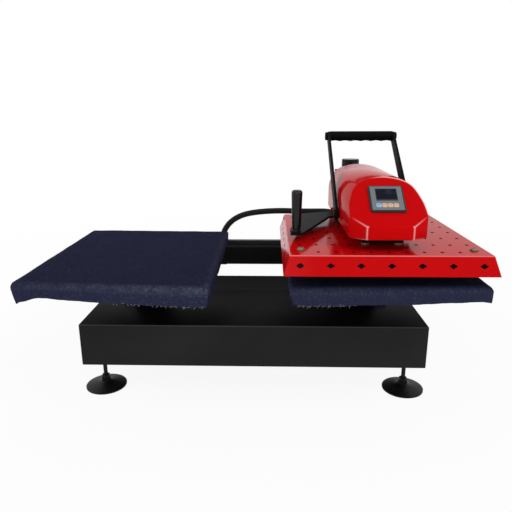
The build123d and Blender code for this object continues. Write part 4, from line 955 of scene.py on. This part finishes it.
# Each ring of the washer and the head: its height over the seat and its radius
SCREW_RINGS = [(0.0, SHANK_RADIUS), (0.0001, 0.0088), (0.0012, 0.0090), (0.0016, 0.0086), (0.0017, 0.0070),
               (0.0032, 0.0068), (0.0044, 0.0058), (0.0051, 0.0040), (0.0053, 0.0015)]


def cover_screw_set():
    low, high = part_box("cover_screws")
    rings = [(SPACER_LOW, SPACER_RADIUS), (0.3924, SPACER_RADIUS), (0.3925, SHANK_RADIUS)]
    rings += [(SCREW_SEAT + height, radius) for height, radius in SCREW_RINGS]
    first = turned_form("cover_screw", 0.0, 0.0, rings, 32)
    for heading in (35.0, 125.0):
        slot = cuboid("slot", (-0.0042, -0.0008, SCREW_SEAT + 0.0028), (0.0042, 0.0008, SCREW_SEAT + 0.0070))
        slot.rotation_euler = (0.0, 0.0, math.radians(heading))
        cut_with(first, settled(slot))
    screws = []
    for x in (low.x + SCREW_INSET, high.x - SCREW_INSET):
        for y in (low.y + SCREW_INSET, high.y - SCREW_INSET):
            screw = first.copy()
            screw.data = first.data.copy()
            bpy.context.collection.objects.link(screw)
            screw.location = (x, y, 0.0)
            screws.append(settled(screw))
    bpy.data.objects.remove(first)
    return joined("cover_screw_set", screws)


aged_zinc = steel("aged_zinc", (0.22, 0.23, 0.17), 0.40, (30.0, 30.0, 30.0))
dress(cover_screw_set(), "press_head", "zinc", ["cover_screws"], aged_zinc)


# Fitted cloth covers on the two pads

COVER_EASE = 0.0005
CLOTH_THICKNESS = 0.0012
FOLD_RADIUS = 0.0058
FOLD_DROP = FOLD_RADIUS * 0.5
EDGE_ZONE = 0.05
BACK_LEAN = (0.0, -0.002)
DRAPE_FRAMES = 20
MOST_DRAPE = 0.0035
HELD_DEPTH, HELD_FADE = 0.006, 0.010
THREAD_LENGTHS, THREAD_RADII = (0.0015, 0.0060), (0.00018, 0.00036)
# How much of the fold's scuffing and painted highlight the sides get
SIDE_WEAR_AND_HIGHLIGHT = 0.35

# How far the front hem hangs below the pad cover's solid, from left to right
HEM_LEFT = [(0.0, 0.0135), (0.04, 0.0095), (0.13, 0.0005), (0.25, 0.0035), (0.45, 0.0070), (0.75, 0.0100),
            (0.93, 0.0110), (1.0, 0.0100)]
HEM_RIGHT = [(0.0, 0.0045), (0.06, 0.0060), (0.30, 0.0060), (0.62, 0.0050), (0.85, 0.0015), (0.96, -0.0005),
             (1.0, 0.0020)]


def along_table(table, share):
    """Reads a line of marks, smoothly, at a share of the way along it."""
    for (a, low), (b, high) in zip(table, table[1:]):
        if share <= b:
            t = (share - a) / (b - a)
            return low + (high - low) * (3 * t * t - 2 * t ** 3)
    return table[-1][1]


def between(pair, share):
    return pair[0] * (1 - share) + pair[1] * share


def cloth_cover(name, node, tilt, hem_line, lean_in, seed, wear_and_highlight):
    """A cover cut a little large, let down over the pad, with a hem that hangs as in use."""
    low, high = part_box(node)
    middle = (low + high) / 2
    half_x, half_y = (high.x - low.x) / 2 - COVER_EASE, (high.y - low.y) / 2 - COVER_EASE
    skirt = high.z - low.z
    reach_x, reach_y = half_x + skirt, half_y + skirt
    cover = added(name, bpy.ops.mesh.primitive_grid_add, x_subdivisions=84, y_subdivisions=96, size=2.0,
                  location=(0, 0, 0))
    mesh = cover.data
    layer = mesh.uv_layers[0]
    for loop in mesh.loops:
        flat = mesh.vertices[loop.vertex_index].co
        layer.data[loop.index].uv = (flat.x * reach_x, flat.y * reach_y)
    wear_and_light = mesh.color_attributes.new(name="wear_and_light", type="FLOAT_COLOR", domain="POINT")
    drift = Vector((seed * 3.7, seed * 1.9, seed * 5.3))
    left_lean, right_lean, front_lean = lean_in

    def ripple(*place):
        return noise.noise(Vector(place) + drift)

    for vertex in mesh.vertices:
        x, y = vertex.co.x * reach_x, vertex.co.y * reach_y
        out_x, out_y = max(abs(x) - half_x, 0.0), max(abs(y) - half_y, 0.0)
        down = min(max(out_x, out_y), skirt)
        share = down / skirt
        side_x = math.copysign(min(abs(x), half_x), x)
        side_y = math.copysign(min(abs(y), half_y), y)
        u, v = (side_x / half_x + 1) / 2, (side_y / half_y + 1) / 2
        near = min(half_x - abs(side_x), half_y - abs(side_y))

        # The top: the cover's tilt, its rounded fold and its rumples
        lift = between((between(tilt[:2], u), between(tilt[2:], u)), v)
        if down > 0:
            fold = FOLD_DROP
        elif near < FOLD_RADIUS:
            fold = 0.5 * (FOLD_RADIUS - math.sqrt(max(FOLD_RADIUS ** 2 - (FOLD_RADIUS - near) ** 2, 0.0)))
        else:
            fold = 0.0
        rumple = ripple(x * 16, y * 16, 0.3) * 0.0006 + ripple(x * 60, y * 60, 4.3) * 0.00025
        edge_lift = ripple(x * 22, y * 22, 9.1) * 0.0009 * max(0.0, 1 - near / EDGE_ZONE)

        # The skirt: how far its hem hangs
        front_share = along_table(hem_line, u)
        back_share = 0.003 + 0.0035 * ripple(x * 9, 3.0, 2.0)
        side_share = hem_line[0][1] if x < 0 else hem_line[-1][1]
        if out_y >= out_x:
            extra = front_share if y < 0 else back_share
        else:
            end = between((front_share, back_share), v)
            extra = end * 0.55 + side_share * 0.45 * (1 - v) + 0.002 * ripple(y * 11, 7.0, 1.0)
        extra += ripple(x * 45, y * 45, 6.0) * 0.0008
        fall = (skirt - FOLD_DROP + extra) * share
        z = high.z - 0.0006 + lift - fold + (rumple + edge_lift) * (1 - share) - (fall if down > 0 else 0.0)

        # The sides: they lean, wave and are pinched at the corners
        wave = ripple(x * 34, y * 34, z * 30) * 0.0011 * min(share * 2.0, 1.0)
        side_lean = left_lean if x < 0 else right_lean
        end_lean = front_lean if y < 0 else BACK_LEAN
        px, py = side_x, side_y
        if abs(x) >= half_x - 1e-6:
            px += math.copysign(1.0, x) * (between(side_lean, share) + wave)
        elif down <= 0 and half_x - abs(x) < EDGE_ZONE:
            px += math.copysign(1.0, x) * side_lean[0] * (1 - (half_x - abs(x)) / EDGE_ZONE) ** 2
        if abs(y) >= half_y - 1e-6:
            py += math.copysign(1.0, y) * (between(end_lean, share) + wave)
        if out_x > 0 and out_y > 0:
            pinch = min(out_x, out_y) / max(out_x, out_y) * 0.0025 * share
            px -= math.copysign(pinch, x)
            py -= math.copysign(pinch, y)
        vertex.co = (middle.x + px, middle.y + py, z)

        # Scuffing and painted light: scuffing and a painted highlight at the fold, more towards the inner
        # side, lint at the hem, and painted light over the front skirt
        fold_near = max(0.0, 1.0 - (near / 0.016 if down <= 0 else down / 0.013))
        front_only = 1.0 if y < -half_y + 0.03 else SIDE_WEAR_AND_HIGHLIGHT
        inner = u if middle.x < 0 else 1.0 - u
        hem_near = max(0.0, (share - 0.72) / 0.28)
        skirt_only = min(down / 0.004, 1.0) * (1.0 if y < -half_y + 1e-6 and out_y >= out_x else 0.15)
        wear_and_light.data[vertex.index].color = (fold_near * front_only * wear_and_highlight, inner * wear_and_highlight, hem_near * front_only,
                                         skirt_only)
    only(cover)
    enter("EDIT")
    bpy.ops.mesh.select_all(action="SELECT")
    bpy.ops.mesh.remove_doubles(threshold=0.0003)
    face_outwards()
    enter("OBJECT")
    let_down(cover, node, high.z)
    walled(cover, CLOTH_THICKNESS)
    applied(cover, "SUBSURF", levels=1, render_levels=1)
    bpy.ops.object.shade_smooth()
    return cover


def let_down(cover, node, top):
    """Lets the cloth settle on the pad by simulation: its top is held and its skirt hangs free."""
    low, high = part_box(node)
    former = cuboid("pad_former", (low.x + 0.006, low.y + 0.006, low.z - 0.004),
                    (high.x - 0.006, high.y - 0.006, high.z - 0.008))
    former.modifiers.new("hard", "COLLISION")
    former.collision.thickness_outer = 0.001
    start = [vertex.co.copy() for vertex in cover.data.vertices]
    held = cover.vertex_groups.new(name="held")
    for vertex in cover.data.vertices:
        depth = top - vertex.co.z
        weight = 1.0 if depth < HELD_DEPTH else max(0.0, 1.0 - (depth - HELD_DEPTH) / HELD_FADE) * 0.6
        if weight > 0:
            held.add([vertex.index], weight, "REPLACE")
    only(cover)
    cloth = cover.modifiers.new("cloth", "CLOTH")
    cloth.settings.quality = 6
    cloth.settings.mass = 0.25
    cloth.settings.tension_stiffness = 15
    cloth.settings.compression_stiffness = 10
    cloth.settings.shear_stiffness = 5
    cloth.settings.bending_stiffness = 0.3
    cloth.settings.vertex_group_mass = "held"
    cloth.settings.shrink_min = -0.018
    cloth.collision_settings.distance_min = 0.001
    cloth.collision_settings.use_self_collision = False
    cloth.point_cache.frame_start = 1
    cloth.point_cache.frame_end = DRAPE_FRAMES + 4
    for step in range(DRAPE_FRAMES):
        bpy.context.scene.frame_set(step + 1)
    shaped = cover.evaluated_get(bpy.context.evaluated_depsgraph_get())
    settled_to = [vertex.co.copy() for vertex in shaped.data.vertices]
    cover.modifiers.remove(cloth)
    cover.vertex_groups.remove(held)
    for vertex, before, after in zip(cover.data.vertices, start, settled_to):
        moved = after - before
        if moved.length > MOST_DRAPE:
            moved = moved * (MOST_DRAPE / moved.length)
        vertex.co = before + moved
    bpy.data.objects.remove(former)
    bpy.context.scene.frame_set(1)


def frayed_threads(name, node, cover, span, count, seed, crowding):
    """Loose thread ends along one part of the front hem."""
    low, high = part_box(node)
    skirt = [point.co for point in cover.data.vertices
             if point.co.y < low.y + 0.008 and point.co.z < low.z + 0.014]
    draw = random.Random(seed)
    threads = []
    for _ in range(count):
        share = span[0] + (span[1] - span[0]) * draw.random() ** crowding
        x = low.x + (high.x - low.x) * share
        hem = min((point for point in skirt if abs(point.x - x) < 0.0035), key=lambda point: point.z)
        heading = Vector((draw.uniform(-1.0, 1.0), draw.uniform(-0.35, 0.05), draw.uniform(-0.75, 0.15)))
        heading.normalize()
        bow = Vector((draw.uniform(-0.6, 0.6), draw.uniform(-0.4, 0.1), draw.uniform(-0.6, 0.2)))
        length = draw.uniform(*THREAD_LENGTHS)
        begin = Vector((x, hem.y - 0.0001, hem.z + draw.uniform(0.0001, 0.0014)))
        points = []
        for step in range(6):
            t = step / 5
            points.append(begin + heading * (length * t) + bow * (length * 0.7 * t * (1 - t)))
        threads.append(tube_along("thread", points, draw.uniform(*THREAD_RADII), 5))
    return joined(name, threads)


PADS = {
    "left": {"tilt": (0.0060, -0.0030, 0.0060, 0.0030), "hem": HEM_LEFT, "seed": 3,
             "lean": ((0.0060, -0.0070), (0.0015, -0.0040), (0.0010, -0.0010)),
             "fray": (0.50, 0.97), "threads": 46, "crowding": 0.8, "wear_and_highlight": 1.0},
    "right": {"tilt": (-0.0030, 0.0022, 0.0000, 0.0015), "hem": HEM_RIGHT, "seed": 8,
              "lean": ((0.0030, -0.0085), (0.0030, 0.0000), (0.0010, -0.0010)),
              "fray": (0.03, 0.32), "threads": 40, "crowding": 1.0, "wear_and_highlight": 0.5},
}
thread_finish = pale_thread()
for side, facts in PADS.items():
    node = "pad_cover_" + side
    replaced = [node, "foam_pads"] if side == "left" else [node]
    cover = cloth_cover("cloth_cover_" + side, node, facts["tilt"], facts["hem"], facts["lean"],
                        facts["seed"], facts["wear_and_highlight"])
    dress(cover, "base", "navy_cloth", replaced)
    if side == "right":
        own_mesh(cover)
    fray = frayed_threads("hem_fray_" + side, node, cover, facts["fray"], facts["threads"], facts["seed"] + 2,
                          facts["crowding"])
    dress(fray, "base", "navy_cloth", own=thread_finish)


# Floor and light

WHITE = (1.0, 1.0, 1.0, 1.0)
FLOOR_WHITE = (0.92, 0.92, 0.92, 1.0)
FLOOR_SIZE = 30.0
# The floor's own white, near the press and from this far out
FADE_FROM, FADE_TO, NEAR_GLOW, FAR_GLOW = 0.8, 2.4, 0.91, 1.0
SKY_LEVEL = 0.68


def emptied(owner):
    """The graph of a material or world, with no nodes in it yet."""
    graph = Graph(owner)
    graph.tree.nodes.clear()
    return graph


def seen_directly(graph):
    """One for rays that come from the camera, a mirror or glass."""
    rays = graph.node("ShaderNodeLightPath").outputs
    first, mirrored, through = [Signal(graph, rays["Is " + kind + " Ray"])
                                for kind in ("Camera", "Glossy", "Transmission")]
    return first.most(mirrored).most(through)


bpy.ops.mesh.primitive_plane_add(size=FLOOR_SIZE, location=(0, 0, 0))
floor = bpy.context.object
floor.name = "studio_floor"
floor.data.materials.append(bpy.data.materials.new("studio_floor"))
ground = emptied(floor.data.materials[0])
from_middle = ground.signal("ShaderNodeVectorMath", {"operation": "LENGTH"}, output="Value",
                            i0=ground.signal("ShaderNodeTexCoord", output="Object"))
glow_share = ground.signal("ShaderNodeMapRange", i0=from_middle, i1=FADE_FROM, i2=FADE_TO, i3=NEAR_GLOW,
                           i4=FAR_GLOW)
ground.node("ShaderNodeOutputMaterial", i0=ground.signal(
    "ShaderNodeMixShader", i0=seen_directly(ground) * glow_share,
    i1=ground.signal("ShaderNodeBsdfDiffuse", Color=FLOOR_WHITE),
    i2=ground.signal("ShaderNodeEmission", Color=WHITE, Strength=1.0)))

world = bpy.data.worlds.new("studio")
bpy.context.scene.world = world
sky = emptied(world)
sky.node("ShaderNodeOutputWorld", i0=sky.signal(
    "ShaderNodeMixShader", i0=seen_directly(sky),
    i1=sky.signal("ShaderNodeBackground", Color=WHITE, Strength=SKY_LEVEL),
    i2=sky.signal("ShaderNodeBackground", Color=WHITE, Strength=1.0)))


def soft_box(name, place, target, width, height, power):
    data = bpy.data.lights.new(name, "AREA")
    data.shape = "RECTANGLE"
    data.size = width
    data.size_y = height
    data.energy = power
    lamp = placed(name, data)
    aim = Vector(target) - Vector(place)
    lamp.matrix_world = Matrix.Translation(place) @ aim.to_track_quat("-Z", "Y").to_matrix().to_4x4()


soft_box("key_light", (1.5, -1.6, 2.2), (0.2, -0.1, 0.3), width=1.2, height=0.9, power=20.0)
soft_box("front_light", (-0.5, -2.8, 0.9), (0.0, -0.2, 0.25), width=1.6, height=0.8, power=10.0)
soft_box("side_light", (-2.2, 0.2, 1.5), (0.0, 0.0, 0.4), width=0.5, height=1.6, power=10.0)

bpy.context.scene.view_settings.view_transform = "Standard"
